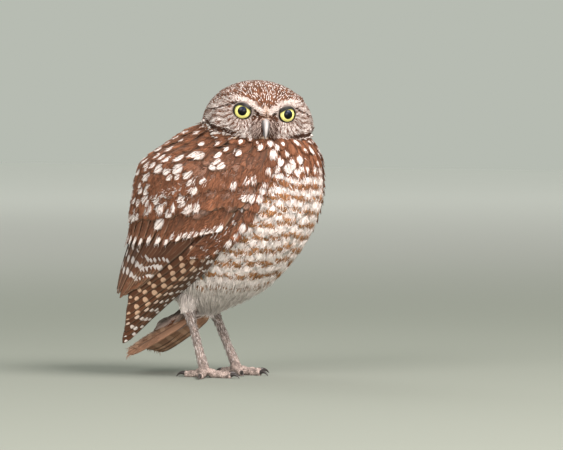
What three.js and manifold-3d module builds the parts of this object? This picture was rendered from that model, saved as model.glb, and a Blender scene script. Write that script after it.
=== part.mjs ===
// A burrowing owl at life size, in millimetres, standing on the floor on both feet. The body faces -Y,
// +Z is up and +X is the bird's left. The head is turned about half a right angle to the bird's right.
// Each named part is one closed solid, and neighbours keep a gap of about a third of a millimetre.
import * as THREE from "three";
import { mergeVertices } from "three/addons/utils/BufferGeometryUtils.js";
import Module from "manifold-3d";

const wasm = await Module();
wasm.setup();

const GAP = 0.34;
const FINEST = 0.08; // slivers thinner than this, where two pieces meet, are smoothed away
const DEGREE = Math.PI / 180;
const SIDES = [
  { name: "right", sign: -1 },
  { name: "left", sign: 1 },
];

// The trunk under the wings, as level slices: height, foremost and rearmost reach, and half width.
const TRUNK_LEVELS = [
  { z: 185, front: -48, back: 2, half: 22 },
  { z: 178, front: -62, back: 21, half: 34 },
  { z: 170, front: -73, back: 34, half: 40 },
  { z: 160, front: -79, back: 48, half: 44.5 },
  { z: 146, front: -80.5, back: 55, half: 46 },
  { z: 127, front: -80, back: 57, half: 47 },
  { z: 103, front: -70, back: 55, half: 46 },
  { z: 81, front: -53, back: 50, half: 41 },
  { z: 66, front: -36, back: 43, half: 32 },
  { z: 56, front: -19, back: 36, half: 20 },
  { z: 49.5, front: -4, back: 26, half: 8 },
];
// The outside of the folded wings, in the same slices, down to the wing tips behind the tail.
const WING_LEVELS = [
  { z: 172, front: -73, back: 34, half: 39 },
  { z: 161, front: -79, back: 52, half: 47 },
  { z: 150, front: -80.5, back: 61, half: 52 },
  { z: 125, front: -80, back: 66, half: 55 },
  { z: 100, front: -70, back: 69, half: 55.5 },
  { z: 78, front: -45, back: 76, half: 52.5 },
  { z: 60, front: -10, back: 80, half: 46 },
  { z: 40, front: 25, back: 80, half: 38 },
  { z: 22, front: 53, back: 77, half: 31 },
  { z: 10, front: 66, back: 80, half: 26 },
];
const SQUARENESS = 2.2; // exponent of each slice's outline: 2 is an ellipse, more is boxier
const TRUNK_TURNS = 28;
const TRUNK_SLICES = 16;
const NECK_CUT = 163;

// The head, in its own frame with the face towards -Y.
const HEAD = { x: -3, y: -36, z: 180, wide: 41, deep: 33.5, tall: 33 };
const HEAD_TURN = { pitch: 2 * DEGREE, roll: 4.5 * DEGREE, yaw: -46 * DEGREE };
const HEAD_TURNS = 32;
const FACE_RINGS = 13;
const CROWN_RINGS = 6;
const EYE = { x: 14.7, y: -22, z: 11, radius: 7.6, outward: 14 * DEGREE, rings: 9, turns: 14 };
// The lid's rim: its reach from the line of sight, how flat it is above and below, how much higher its outer
// end lies, and its thickness.
const LID = { reach: 6.5, above: 0.7, below: 0.86, slant: 0.3, thick: 0.85, turns: 16, sides: 6 };
const BILL = { z: 4.5, y: -30.5, wide: 4.4, tall: 5.2, length: 17 };

// The folded wing, as angles round the body from the breast (0) over the side (90) to the back (180). Its
// front edge lies at one angle by the shoulder and at another below the wrist.
const WING = { shoulder: 41, front: 57, last: 178, core: -2.2, thick: 15, tip: 1.9 };
// Rows of wing feathers, from the flight feathers up to the shoulder: how many, the lines of the roots and
// of the tips as three places (height, angle) from the front end to the back, how late a vane swings round to
// its tip's angle at the two ends, the width of a vane, and how far it lies from the wing's outer skin.
const FEATHER_ROWS = [
  {
    count: 8,
    roots: [[92, 61], [92, 68], [88, 80]],
    tips: [[22, 92], [38, 98], [56, 106]],
    swing: [4.5, 1.2],
    wide: 9.5,
    lift: -1.5,
  },
  {
    count: 8,
    roots: [[96, 84], [98, 108], [100, 173.5]],
    tips: [[64, 104], [57, 122], [65, 173.5]],
    swing: [1, 1],
    wide: 12,
    lift: -1.1,
  },
  {
    count: 5,
    roots: [[122, 48], [118, 56], [112, 64]],
    tips: [[96, 58], [86, 65], [87, 76]],
    swing: [1.3, 1],
    wide: 9,
    lift: -0.6,
  },
  {
    count: 9,
    roots: [[124, 60], [120, 94], [118, 173.5]],
    tips: [[107, 67], [97, 98], [93, 173.5]],
    swing: [1, 1],
    wide: 12.5,
    lift: -0.3,
  },
  {
    count: 8,
    roots: [[144, 47], [140, 94], [138, 173.5]],
    tips: [[126, 57], [118, 95], [115, 173.5]],
    swing: [1, 1],
    wide: 12.5,
    lift: 0.3,
  },
];
const VANE = { stops: [0, 0.5, 0.87, 1], widths: [0.75, 1, 0.93, 0.36], shaft: 1.0, edge: 0.55 };

// The folded tail: twelve feathers, the middle pair on top and the outer ones lower.
const TAIL = {
  root: new THREE.Vector3(0, 20, 50),
  tip: new THREE.Vector3(0, 76, 19),
  feathers: 12,
  rootHalf: 9,
  tipHalf: 15,
  wide: 11,
  drop: 1.2,
};

// The legs: each ankle under the belly, each foot's middle on the floor, and the shank's radii.
const LEGS = {
  right: { ankle: new THREE.Vector3(-19, 15, 51), foot: new THREE.Vector3(-19, 0, 6.5) },
  left: { ankle: new THREE.Vector3(19, 21, 50), foot: new THREE.Vector3(19, -1, 6.5) },
};
const SHANK = { top: 3.9, middle: 2.7, bottom: 3.6, turns: 12 };
const THIGH = { top: 12, bottom: 5, rise: 26 };
// The toes: heading from straight ahead towards the bird's outside, length, and radius at the root.
const TOES = [
  { name: "middle", heading: -4, length: 23, radius: 2.9 },
  { name: "inner", heading: -42, length: 18, radius: 2.8 },
  { name: "outer", heading: 62, length: 20, radius: 2.7 },
  { name: "hind", heading: 168, length: 15, radius: 2.8 },
];
const TOE = { knuckles: 3, sides: 8, steps: 8, height: 2.0 };
const CLAW = { length: 8.5, radius: 1.55, rise: 1.3, sides: 7, steps: 6 };

const COLOURS = {
  breast: { color: 0xd9c8b4, roughness: 0.9 },
  head: { color: 0x8a6550, roughness: 0.9 },
  wing: { color: 0x7d5138, roughness: 0.85 },
  tail: { color: 0x8d6244, roughness: 0.85 },
  leg: { color: 0xb0a096, roughness: 0.8 },
  claw: { color: 0x2b2522, roughness: 0.4 },
  bill: { color: 0xb9b4aa, roughness: 0.35 },
  eye: { color: 0xe8e04a, roughness: 0.1 },
};

// One named part of the bird.
function part(name, geometry, colour) {
  const material = new THREE.MeshStandardMaterial({ metalness: 0, ...COLOURS[colour] });
  const mesh = new THREE.Mesh(geometry, material);
  mesh.name = name;
  return mesh;
}

// A geometry from points and triangles, turned so that its faces point outwards.
function geometryOf(points, triangles) {
  const volume = triangles.reduce(
    (sum, [a, b, c]) => sum + points[a].dot(new THREE.Vector3().crossVectors(points[b], points[c])),
    0,
  );
  const facing = volume < 0 ? triangles.map(([a, b, c]) => [a, c, b]) : triangles;
  return new THREE.BufferGeometry().setFromPoints(points).setIndex(facing.flat());
}

// A closed skin over a stack of closed rings, with a fan over each end.
function loft(rings) {
  const count = rings[0].length;
  const points = rings.flat();
  const triangles = [];
  for (let i = 0; i + 1 < rings.length; i++)
    for (let j = 0; j < count; j++) {
      const near = i * count + j;
      const next = i * count + ((j + 1) % count);
      triangles.push([near, next, next + count], [near, next + count, near + count]);
    }
  [rings[0], rings.at(-1)].forEach((ring, end) => {
    const middle = points.length;
    const start = end ? (rings.length - 1) * count : 0;
    points.push(ring.reduce((sum, p) => sum.add(p), new THREE.Vector3()).divideScalar(count));
    for (let j = 0; j < count; j++) {
      const pair = [start + j, start + ((j + 1) % count)];
      triangles.push(end ? [middle, ...pair] : [middle, ...pair.reverse()]);
    }
  });
  return geometryOf(points, triangles);
}

// A closed plate between an upper and a lower grid of points, split into triangles alike on both faces.
function plate(upper, lower) {
  const rows = upper.length;
  const columns = upper[0].length;
  const points = [...upper.flat(), ...lower.flat()];
  const under = rows * columns;
  const at = (i, j) => i * columns + j;
  const triangles = [];
  for (let i = 0; i + 1 < rows; i++)
    for (let j = 0; j + 1 < columns; j++) {
      const [a, b, c, d] = [at(i, j), at(i, j + 1), at(i + 1, j + 1), at(i + 1, j)];
      triangles.push([a, b, c], [a, c, d]);
      triangles.push([a + under, c + under, b + under], [a + under, d + under, c + under]);
    }
  const wall = (a, b) => triangles.push([a, a + under, b + under], [a, b + under, b]);
  for (let j = 0; j + 1 < columns; j++) {
    wall(at(0, j), at(0, j + 1));
    wall(at(rows - 1, j + 1), at(rows - 1, j));
  }
  for (let i = 0; i + 1 < rows; i++) {
    wall(at(i + 1, 0), at(i, 0));
    wall(at(i, columns - 1), at(i + 1, columns - 1));
  }
  return geometryOf(points, triangles);
}

// The solid of a closed geometry, and the geometry of a solid.
function solidOf(geometry) {
  const bare = geometry.clone();
  bare.deleteAttribute("normal");
  bare.deleteAttribute("uv");
  const merged = mergeVertices(bare, 1e-4);
  return new wasm.Manifold(
    new wasm.Mesh({
      numProp: 3,
      vertProperties: merged.attributes.position.array,
      triVerts: new Uint32Array(merged.index.array),
    }),
  );
}

// Only the largest closed surface of a solid is kept, so a sealed hollow or a loose scrap goes.
function largest(solid) {
  return solid.decompose().reduce((best, body) => (body.volume() > best.volume() ? body : best));
}

function geometryOfSolid(solid) {
  const mesh = largest(solid.simplify(FINEST)).getMesh();
  const geometry = new THREE.BufferGeometry();
  geometry.setAttribute("position", new THREE.BufferAttribute(mesh.vertProperties, 3));
  return geometry.setIndex(new THREE.BufferAttribute(mesh.triVerts, 1));
}

const union = (geometries) => geometries.map(solidOf).reduce((all, next) => all.add(next));

// A smooth closed geometry with every point moved out along its normal, to cut a neighbour clear of it.
function grown(geometry, distance) {
  const moved = geometry.clone();
  moved.computeVertexNormals();
  const { position, normal } = moved.attributes;
  for (let i = 0; i < position.count; i++) {
    const point = new THREE.Vector3().fromBufferAttribute(position, i);
    point.addScaledVector(new THREE.Vector3().fromBufferAttribute(normal, i), distance);
    position.setXYZ(i, point.x, point.y, point.z);
  }
  return moved;
}

const mix = (a, b, share) => a + (b - a) * share;
const bell = (distance, reach) => Math.exp(-((distance / reach) ** 2));

// The slice of a body at a height, eased through its levels by a cubic that keeps their slopes.
function sliceAt(levels, z) {
  const found = levels.findIndex((level) => level.z <= z);
  const i = found < 0 ? levels.length - 2 : Math.max(found - 1, 0);
  const [above, below] = [levels[i], levels[i + 1]];
  const share = (z - above.z) / (below.z - above.z);
  const slope = (name, k) => {
    const [before, after] = [levels[Math.max(k - 1, 0)], levels[Math.min(k + 1, levels.length - 1)]];
    return (after[name] - before[name]) / (after.z - before.z);
  };
  const eased = (name) => {
    const run = below.z - above.z;
    const [s2, s3] = [share ** 2, share ** 3];
    return (
      (2 * s3 - 3 * s2 + 1) * above[name] +
      (s3 - 2 * s2 + share) * run * slope(name, i) +
      (3 * s2 - 2 * s3) * below[name] +
      (s3 - s2) * run * slope(name, i + 1)
    );
  };
  return { z, front: eased("front"), back: eased("back"), half: eased("half") };
}

// A point on a slice's outline, at an angle round from the front towards the given side.
function outlinePoint(slice, angle, sign) {
  const bend = (value) => Math.sign(value) * Math.abs(value) ** (2 / SQUARENESS);
  const middle = (slice.front + slice.back) / 2;
  const depth = (slice.back - slice.front) / 2;
  return new THREE.Vector3(
    sign * slice.half * bend(Math.sin(angle)),
    middle - depth * bend(Math.cos(angle)),
    slice.z,
  );
}

// The trunk, from the top of the neck inside the head down to the vent.
function trunkGeometry() {
  const [top, bottom] = [TRUNK_LEVELS[0].z, TRUNK_LEVELS.at(-1).z];
  const rings = [];
  for (let i = 0; i <= TRUNK_SLICES; i++) {
    const slice = sliceAt(TRUNK_LEVELS, mix(top, bottom, i / TRUNK_SLICES));
    const ring = [];
    for (let j = 0; j < TRUNK_TURNS; j++)
      ring.push(outlinePoint(slice, (j / TRUNK_TURNS) * 2 * Math.PI, 1));
    rings.push(ring);
  }
  return loft(rings);
}

// How far the head's skin stands out from its plain egg shape, for a point on the face: shallow discs
// round the eyes, brows over them, the bristled ridge above the bill, the ruff's rim and the crease below it.
function faceRelief(x, z) {
  const side = Math.abs(x);
  const fromEye = Math.hypot(side - EYE.x, z - EYE.z);
  const alongBrow = THREE.MathUtils.clamp((side - 3) / 23, 0, 1);
  const fromBrow = Math.hypot(side - mix(3, 26, alongBrow), z - mix(11, 21, alongBrow));
  const rim = Math.hypot(x / 36, (z - 2) / 25);
  return (
    -2.6 * bell(fromEye, 9) +
    2.6 * bell(fromBrow, 3.6) +
    3.0 * bell(Math.hypot(x, (z - 1) / 1.7), 5) +
    1.4 * bell(rim - 0.93, 0.09) * (z < 12 ? 1 : 0.4) -
    1.8 * bell(rim - 1.12, 0.09) * (z < 0 ? 1 : 0)
  );
}

// The head's skin, in rings round the line that the bird looks along, closer together over the face.
function headShell(grow) {
  const rings = [];
  const angles = [];
  for (let i = 1; i <= FACE_RINGS; i++) angles.push((i / FACE_RINGS) * 90);
  for (let i = 1; i < CROWN_RINGS; i++) angles.push(90 + (i / CROWN_RINGS) * 90);
  for (const degrees of angles) {
    const ring = [];
    for (let j = 0; j < HEAD_TURNS; j++) {
      const [away, turn] = [degrees * DEGREE, (j / HEAD_TURNS) * 2 * Math.PI];
      const [x, y, z] = [Math.sin(away) * Math.sin(turn), -Math.cos(away), Math.sin(away) * Math.cos(turn)];
      const reach = 1 / Math.hypot(x / HEAD.wide, y / HEAD.deep, z / HEAD.tall);
      const front = Math.max(0, -y) ** 0.5;
      const out = reach + front * faceRelief(x * reach, z * reach) + grow;
      ring.push(new THREE.Vector3(x * out, y * out, z * out));
    }
    rings.push(ring);
  }
  return loft(rings);
}

// The direction in which an eye looks, in the head's frame.
const gaze = (sign) => new THREE.Vector3(sign * Math.sin(EYE.outward), -Math.cos(EYE.outward), 0);

// A lid: a rounded rim round the eye's opening, pressed down over the top of the eye towards the bill.
function lidRim(sign) {
  const look = gaze(sign);
  const across = new THREE.Vector3(0, 0, 1).cross(look).normalize();
  const up = new THREE.Vector3(0, 0, 1);
  const centre = new THREE.Vector3(sign * EYE.x, EYE.y, EYE.z);
  const rings = [];
  for (let i = 0; i < LID.turns; i++) {
    const turn = (i / LID.turns) * 2 * Math.PI;
    const [side, rise] = [Math.sin(turn), Math.cos(turn)];
    const flat = rise > 0 ? LID.above * (1 + LID.slant * sign * side) : LID.below;
    const out = across.clone().multiplyScalar(side).addScaledVector(up, rise * flat);
    const forward = Math.sqrt(EYE.radius ** 2 - (LID.reach * out.length()) ** 2) + 0.5;
    const middle = centre.clone().addScaledVector(out, LID.reach).addScaledVector(look, forward);
    const ring = [];
    for (let j = 0; j < LID.sides; j++) {
      const spin = (j / LID.sides) * 2 * Math.PI;
      const point = middle.clone().addScaledVector(out, 1.1 * LID.thick * Math.cos(spin));
      ring.push(point.addScaledVector(look, LID.thick * Math.sin(spin)));
    }
    rings.push(ring);
  }
  return closedHoop(rings);
}

// A closed skin over rings that follow one another round a hoop.
function closedHoop(rings) {
  const count = rings[0].length;
  const triangles = [];
  rings.forEach((ring, i) => {
    for (let j = 0; j < count; j++) {
      const next = (i + 1) % rings.length;
      const corner = [i * count + j, i * count + ((j + 1) % count)];
      const beyond = [next * count + j, next * count + ((j + 1) % count)];
      triangles.push([corner[0], corner[1], beyond[1]], [corner[0], beyond[1], beyond[0]]);
    }
  });
  return geometryOf(rings.flat(), triangles);
}

// An eyeball, with the clear front standing a little proud of the ball.
function eyeball(sign, grow) {
  const rings = [];
  for (let i = 1; i < EYE.rings; i++) {
    const away = (i / EYE.rings) * Math.PI;
    const radius = EYE.radius + grow + 0.7 * bell(away, 0.55);
    const ring = [];
    for (let j = 0; j < EYE.turns; j++) {
      const turn = (j / EYE.turns) * 2 * Math.PI;
      const flat = radius * Math.sin(away);
      ring.push(new THREE.Vector3(flat * Math.sin(turn), -radius * Math.cos(away), flat * Math.cos(turn)));
    }
    rings.push(ring);
  }
  const ball = loft(rings);
  ball.rotateZ(sign * EYE.outward);
  return ball.translate(sign * EYE.x, EYE.y, EYE.z);
}

// The upper bill hooks down over the lower one, from a base as wide as it is tall to a narrow point.
function billHalf(upper) {
  const rings = [];
  const steps = 8;
  for (let i = 0; i < steps; i++) {
    const along = i / (steps - 1);
    const bend = upper ? 105 * DEGREE : 70 * DEGREE;
    const length = upper ? BILL.length : BILL.length * 0.62;
    const turn = along * bend;
    const radius = length / bend;
    const drop = radius * (1 - Math.cos(turn));
    const centre = new THREE.Vector3(0, BILL.y - radius * Math.sin(turn), BILL.z - drop);
    if (!upper) centre.z -= BILL.tall * 0.98;
    if (!upper) centre.y += 1.2;
    const taper = (1 - along) ** 0.7 * 0.93 + 0.07;
    const [wide, tall] = [BILL.wide * taper, (upper ? BILL.tall : 2.4) * 0.62 * taper];
    const rise = new THREE.Vector3(0, -Math.sin(turn), Math.cos(turn));
    const ring = [];
    for (let j = 0; j < 10; j++) {
      const spin = (j / 10) * 2 * Math.PI;
      const keel = Math.cos(spin) > 0 ? Math.cos(spin) * 1.25 : Math.cos(spin);
      const point = centre.clone().addScaledVector(rise, tall * keel);
      point.x += wide * Math.sin(spin) * (1 - 0.25 * Math.max(0, Math.cos(spin)));
      ring.push(point);
    }
    rings.push(ring);
  }
  return loft(rings);
}

// A nostril: a small slanted pit in the bill's base.
function nostril(sign) {
  const pit = new THREE.SphereGeometry(1, 8, 6);
  pit.scale(1.1, 0.9, 0.7);
  return pit.translate(sign * BILL.wide * 0.72, BILL.y - 3.4, BILL.z + 1.9);
}

// The outside of the folded wing at a height and angle, moved out along its own normal.
function wingSkin(z, degrees, sign, lift) {
  const at = (height, angle) => outlinePoint(sliceAt(WING_LEVELS, height), angle * DEGREE, sign);
  const point = at(z, degrees);
  const round = at(z, degrees + 0.5).sub(at(z, degrees - 0.5));
  const down = at(z - 0.5, degrees).sub(at(z + 0.5, degrees));
  const normal = round.cross(down).multiplyScalar(-sign).normalize();
  return { point: point.addScaledVector(normal, lift), normal };
}

// The wing's arm and coverts: a shell on the body's side, thick at the shoulder and thin towards the tips.
function wingCore(sign) {
  const [rows, columns] = [9, 8];
  const [upper, lower] = [[], []];
  for (let i = 0; i <= rows; i++) {
    const [top, bottom] = [[], []];
    for (let j = 0; j <= columns; j++) {
      const [down, round] = [i / rows, j / columns];
      const shoulder = 149 + 12 * Math.sin(Math.min(1, round * 1.7) * 0.5 * Math.PI);
      const hem = mix(44, 64, THREE.MathUtils.smoothstep(round, 0.1, 0.7));
      const z = mix(shoulder, hem, down);
      const edgeAngle = mix(WING.front, WING.shoulder, THREE.MathUtils.smoothstep(z, 90, 135));
      const degrees = mix(edgeAngle, WING.last, round);
      const thick = mix(WING.tip, WING.thick, THREE.MathUtils.smoothstep(z, 48, 84));
      const edge = i === 0 ? 0.6 : 0;
      top.push(wingSkin(z, degrees, sign, WING.core - edge).point);
      bottom.push(wingSkin(z, degrees, sign, WING.core - thick).point);
    }
    upper.push(top);
    lower.push(bottom);
  }
  return plate(upper, lower);
}

// A vane that follows a path of points and normals, thickest along its shaft.
function vane(path, half, tilt) {
  const [upper, lower] = [[], []];
  path.forEach(({ point, normal }, i) => {
    const [before, after] = [path[Math.max(i - 1, 0)], path[Math.min(i + 1, path.length - 1)]];
    const along = after.point.clone().sub(before.point).normalize();
    const across = new THREE.Vector3().crossVectors(normal, along).normalize();
    const [top, bottom] = [[], []];
    for (const side of [-1, 0, 1]) {
      const outer = point.clone().addScaledVector(across, side * half * VANE.widths[i]);
      outer.addScaledVector(normal, side * tilt - Math.abs(side) * 0.25);
      top.push(outer);
      bottom.push(outer.clone().addScaledVector(normal, -(side ? VANE.edge : VANE.shaft)));
    }
    upper.push(top);
    lower.push(bottom);
  });
  return plate(upper, lower);
}

// A place (height, angle) at a share of a line of three places.
function placeOn(line, share) {
  const [start, end] = share < 0.5 ? [line[0], line[1]] : [line[1], line[2]];
  const part = share < 0.5 ? share * 2 : share * 2 - 1;
  return [mix(start[0], end[0], part), mix(start[1], end[1], part)];
}

// One row of wing feathers, laid side by side with each edge over the next.
function featherRow(row, sign) {
  const vanes = [];
  for (let k = 0; k < row.count; k++) {
    const share = k / (row.count - 1);
    const [root, tip] = [placeOn(row.roots, share), placeOn(row.tips, share)];
    const swing = mix(...row.swing, share);
    const path = VANE.stops.map((stop) => {
      const lift = row.lift - 1.5 * (1 - stop) ** 2 + 0.35 * (k % 2);
      return wingSkin(mix(root[0], tip[0], stop), mix(root[1], tip[1], stop ** swing), sign, lift);
    });
    vanes.push(vane(path, row.wide / 2, 0.4 * sign));
  }
  return vanes;
}

// A whole folded wing, cut clear of the trunk that it lies on.
function wing(sign, trunkCut) {
  const pieces = [wingCore(sign), ...FEATHER_ROWS.flatMap((row) => featherRow(row, sign))];
  return geometryOfSolid(union(pieces).subtract(trunkCut));
}

// The tail: a wedge of coverts at the root, and feathers fanned out from it, the outer ones lower.
function tail() {
  const along = TAIL.tip.clone().sub(TAIL.root);
  const up = new THREE.Vector3(0, -along.z, along.y).normalize();
  const pieces = [];
  for (let k = 0; k < TAIL.feathers; k++) {
    const side = (2 * k) / (TAIL.feathers - 1) - 1;
    const rank = Math.abs(side) * 0.5 * (TAIL.feathers - 1);
    const path = VANE.stops.map((stop) => {
      const point = TAIL.root.clone().addScaledVector(along, stop * (1 - 0.05 * side * side));
      point.x = side * mix(TAIL.rootHalf, TAIL.tipHalf, stop);
      const arch = -TAIL.drop * rank;
      return { point: point.addScaledVector(up, arch + (side > 0 ? 0.2 : 0)), normal: up };
    });
    pieces.push(vane(path, TAIL.wide / 2, 0));
  }
  const rings = [];
  for (let i = 0; i <= 6; i++) {
    const share = i / 6;
    const centre = TAIL.root.clone().addScaledVector(along, mix(-0.12, 0.5, share));
    centre.addScaledVector(up, mix(-2.6, -4, share));
    const [wide, tall] = [mix(15, 12, share), mix(8, 1.4, share ** 0.8)];
    const ring = [];
    for (let j = 0; j < 14; j++) {
      const spin = (j / 14) * 2 * Math.PI;
      const point = centre.clone().addScaledVector(up, tall * Math.cos(spin));
      ring.push(point.add(new THREE.Vector3(wide * Math.sin(spin), 0, 0)));
    }
    rings.push(ring);
  }
  pieces.push(loft(rings));
  return union(pieces);
}

// A round limb along a straight line, with a radius for each share of its length.
function limb(start, end, radii, turns) {
  const along = end.clone().sub(start);
  const forward = new THREE.Vector3(0, -1, 0);
  const across = new THREE.Vector3().crossVectors(along, forward).normalize();
  const ahead = new THREE.Vector3().crossVectors(across, along).normalize();
  const rings = radii.map(([share, radius]) => {
    const centre = start.clone().addScaledVector(along, share);
    const ring = [];
    for (let j = 0; j < turns; j++) {
      const spin = (j / turns) * 2 * Math.PI;
      const point = centre.clone().addScaledVector(across, radius * Math.sin(spin));
      ring.push(point.addScaledVector(ahead, radius * Math.cos(spin)));
    }
    return ring;
  });
  return loft(rings);
}

// The feathered thigh, from inside the belly down to the ankle.
function thighShape(leg) {
  return limb(
    leg.ankle.clone().add(new THREE.Vector3(0, -5, THIGH.rise)),
    leg.ankle.clone().add(new THREE.Vector3(0, 0.4, 1.2)),
    [
      [0, THIGH.top * 0.8],
      [0.3, THIGH.top],
      [0.75, THIGH.bottom * 1.25],
      [1, THIGH.bottom],
    ],
    14,
  );
}

// The shank, from the ankle joint to the top of the foot.
function shank(leg, grow) {
  const along = leg.foot.clone().sub(leg.ankle).normalize();
  const radii = [
    [0, SHANK.top * 0.92],
    [0.08, SHANK.top],
    [0.3, SHANK.middle * 1.08],
    [0.65, SHANK.middle],
    [0.9, SHANK.bottom],
    [1, SHANK.bottom * 0.96],
  ].map(([share, radius]) => [share, radius + grow]);
  const start = leg.ankle.clone().addScaledVector(along, 0.6 - grow);
  const end = leg.foot.clone().addScaledVector(along, -0.6 + grow);
  return limb(start, end, radii, SHANK.turns);
}

// The heading of a toe as a level direction, turned to the bird's outside by its angle.
function toeDirection(toe, sign) {
  const heading = toe.heading * DEGREE;
  return new THREE.Vector3(sign * Math.sin(heading), -Math.cos(heading), 0);
}

// A toe with knuckles, whose pads reach a little below the floor until the foot is cut level.
function toeGeometry(leg, toe, sign) {
  const ahead = toeDirection(toe, sign);
  const across = new THREE.Vector3(0, 0, 1).cross(ahead);
  const rings = [];
  for (let i = 0; i <= TOE.steps; i++) {
    const share = i / TOE.steps;
    const knuckle = 0.28 * Math.cos(share * TOE.knuckles * 2 * Math.PI);
    const radius = toe.radius * mix(1.05, 0.82, share) + knuckle;
    const rise = TOE.height + 3.4 * (1 - share) ** 3;
    const centre = new THREE.Vector3(leg.foot.x, leg.foot.y, rise).addScaledVector(ahead, share * toe.length);
    const ring = [];
    for (let j = 0; j < TOE.sides; j++) {
      const spin = ((j + 0.5) / TOE.sides) * 2 * Math.PI;
      const point = centre.clone().addScaledVector(across, radius * Math.sin(spin));
      point.z += radius * 1.08 * Math.cos(spin);
      ring.push(point);
    }
    rings.push(ring);
  }
  return loft(rings);
}

// The foot: the ball under the shank and four toes, cut clear of the shank and cut level at the floor.
function foot(leg, sign) {
  const ball = new THREE.SphereGeometry(1, 14, 10);
  ball.scale(4.3, 4.6, 4.4);
  ball.translate(leg.foot.x, leg.foot.y, 4.6);
  const pieces = [ball, ...TOES.map((toe) => toeGeometry(leg, toe, sign))];
  return geometryOfSolid(union(pieces).subtract(solidOf(shank(leg, GAP))).trimByPlane([0, 0, 1], 0));
}

// A claw: a curved cone from the toe's end down to the floor.
function claw(leg, toe, sign) {
  const ahead = toeDirection(toe, sign);
  const across = new THREE.Vector3(0, 0, 1).cross(ahead);
  const rings = [];
  for (let i = 0; i <= CLAW.steps; i++) {
    const share = i / CLAW.steps;
    const bend = mix(-28, 62, share) * DEGREE;
    const reach = (CLAW.length * (Math.sin(bend) + Math.sin(28 * DEGREE))) / 1.57;
    const arch = (CLAW.length * (Math.cos(bend) - Math.cos(28 * DEGREE))) / 1.57;
    const radius = CLAW.radius * (1 - share) ** 0.8 + 0.14;
    const centre = new THREE.Vector3(leg.foot.x, leg.foot.y, TOE.height + CLAW.rise * 0.2 + arch);
    centre.addScaledVector(ahead, toe.length + GAP + reach);
    const rise = ahead.clone().multiplyScalar(Math.sin(bend)).add(new THREE.Vector3(0, 0, Math.cos(bend)));
    if (i === 0) rise.set(0, 0, 1);
    const ring = [];
    for (let j = 0; j < CLAW.sides; j++) {
      const spin = (j / CLAW.sides) * 2 * Math.PI;
      const point = centre.clone().addScaledVector(across, 0.85 * radius * Math.sin(spin));
      point.addScaledVector(rise, radius * Math.cos(spin));
      point.z = Math.max(0.05, point.z);
      ring.push(point);
    }
    rings.push(ring);
  }
  return loft(rings);
}

// A flat slab across the whole bird, to part the neck from the trunk.
function levelSlab(z, thick) {
  return new THREE.BoxGeometry(300, 300, thick).translate(0, 0, z + thick / 2);
}

// A geometry of the head's own frame, put where the head is.
function onHead(geometry) {
  const turn = new THREE.Euler(HEAD_TURN.pitch, HEAD_TURN.roll, HEAD_TURN.yaw, "ZYX");
  const placed = new THREE.Matrix4().makeRotationFromEuler(turn).setPosition(HEAD.x, HEAD.y, HEAD.z);
  return geometry.applyMatrix4(placed);
}

// The head's parts: skull with lids, two eyes and the two halves of the bill.
function headParts() {
  const upperBill = solidOf(billHalf(true));
  const lowerBill = solidOf(billHalf(false));
  const upperCut = solidOf(grown(billHalf(true), GAP));
  const lowerCut = solidOf(grown(billHalf(false), GAP));
  let skull = union([headShell(0), lidRim(-1), lidRim(1)]).subtract(upperCut).subtract(lowerCut);
  const parts = [];
  for (const { name, sign } of SIDES) {
    skull = skull.subtract(solidOf(eyeball(sign, GAP)));
    parts.push(part(`eye_${name}`, onHead(eyeball(sign, 0)), "eye"));
  }
  const bored = upperBill.subtract(solidOf(nostril(-1))).subtract(solidOf(nostril(1)));
  const under = lowerBill.subtract(upperCut);
  parts.push(part("bill_upper", onHead(geometryOfSolid(bored)), "bill"));
  parts.push(part("bill_lower", onHead(geometryOfSolid(under)), "bill"));
  parts.push(part("head", onHead(geometryOfSolid(skull)), "head"));
  return parts;
}

const owl = new THREE.Group();
const trunk = trunkGeometry();
const trunkCut = solidOf(grown(trunk, GAP));
const headCut = solidOf(onHead(headShell(GAP)));

owl.add(...headParts());
const thighCuts = SIDES.map(({ name }) => solidOf(grown(thighShape(LEGS[name]), GAP)));
const clearOf = (solid, cuts) => cuts.reduce((rest, cut) => rest.subtract(cut), solid);
owl.add(part("tail", geometryOfSolid(clearOf(tail(), [trunkCut, ...thighCuts])), "tail"));
for (const { name, sign } of SIDES) {
  const leg = LEGS[name];
  const shankCut = solidOf(shank(leg, GAP));
  owl.add(part(`wing_${name}`, wing(sign, trunkCut), "wing"));
  const thigh = clearOf(solidOf(thighShape(leg)), [trunkCut, shankCut]);
  owl.add(part(`thigh_${name}`, geometryOfSolid(thigh), "breast"));
  owl.add(part(`shank_${name}`, geometryOfSolid(solidOf(shank(leg, 0)).subtract(trunkCut)), "leg"));
  owl.add(part(`foot_${name}`, foot(leg, sign), "leg"));
  for (const toe of TOES) owl.add(part(`claw_${name}_${toe.name}`, claw(leg, toe, sign), "claw"));
}
const body = solidOf(trunk).subtract(headCut);
const above = solidOf(levelSlab(NECK_CUT + GAP, 100));
const below = solidOf(levelSlab(NECK_CUT - 200, 200));
owl.add(part("neck", geometryOfSolid(body.intersect(above)), "breast"));
owl.add(part("torso", geometryOfSolid(body.intersect(below)), "breast"));

// The origin goes on the floor, under the middle of the bird's box.
const box = new THREE.Box3().setFromObject(owl);
const middle = box.getCenter(new THREE.Vector3());
owl.position.set(-middle.x, -middle.y, -box.min.z);

export default owl;
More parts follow.
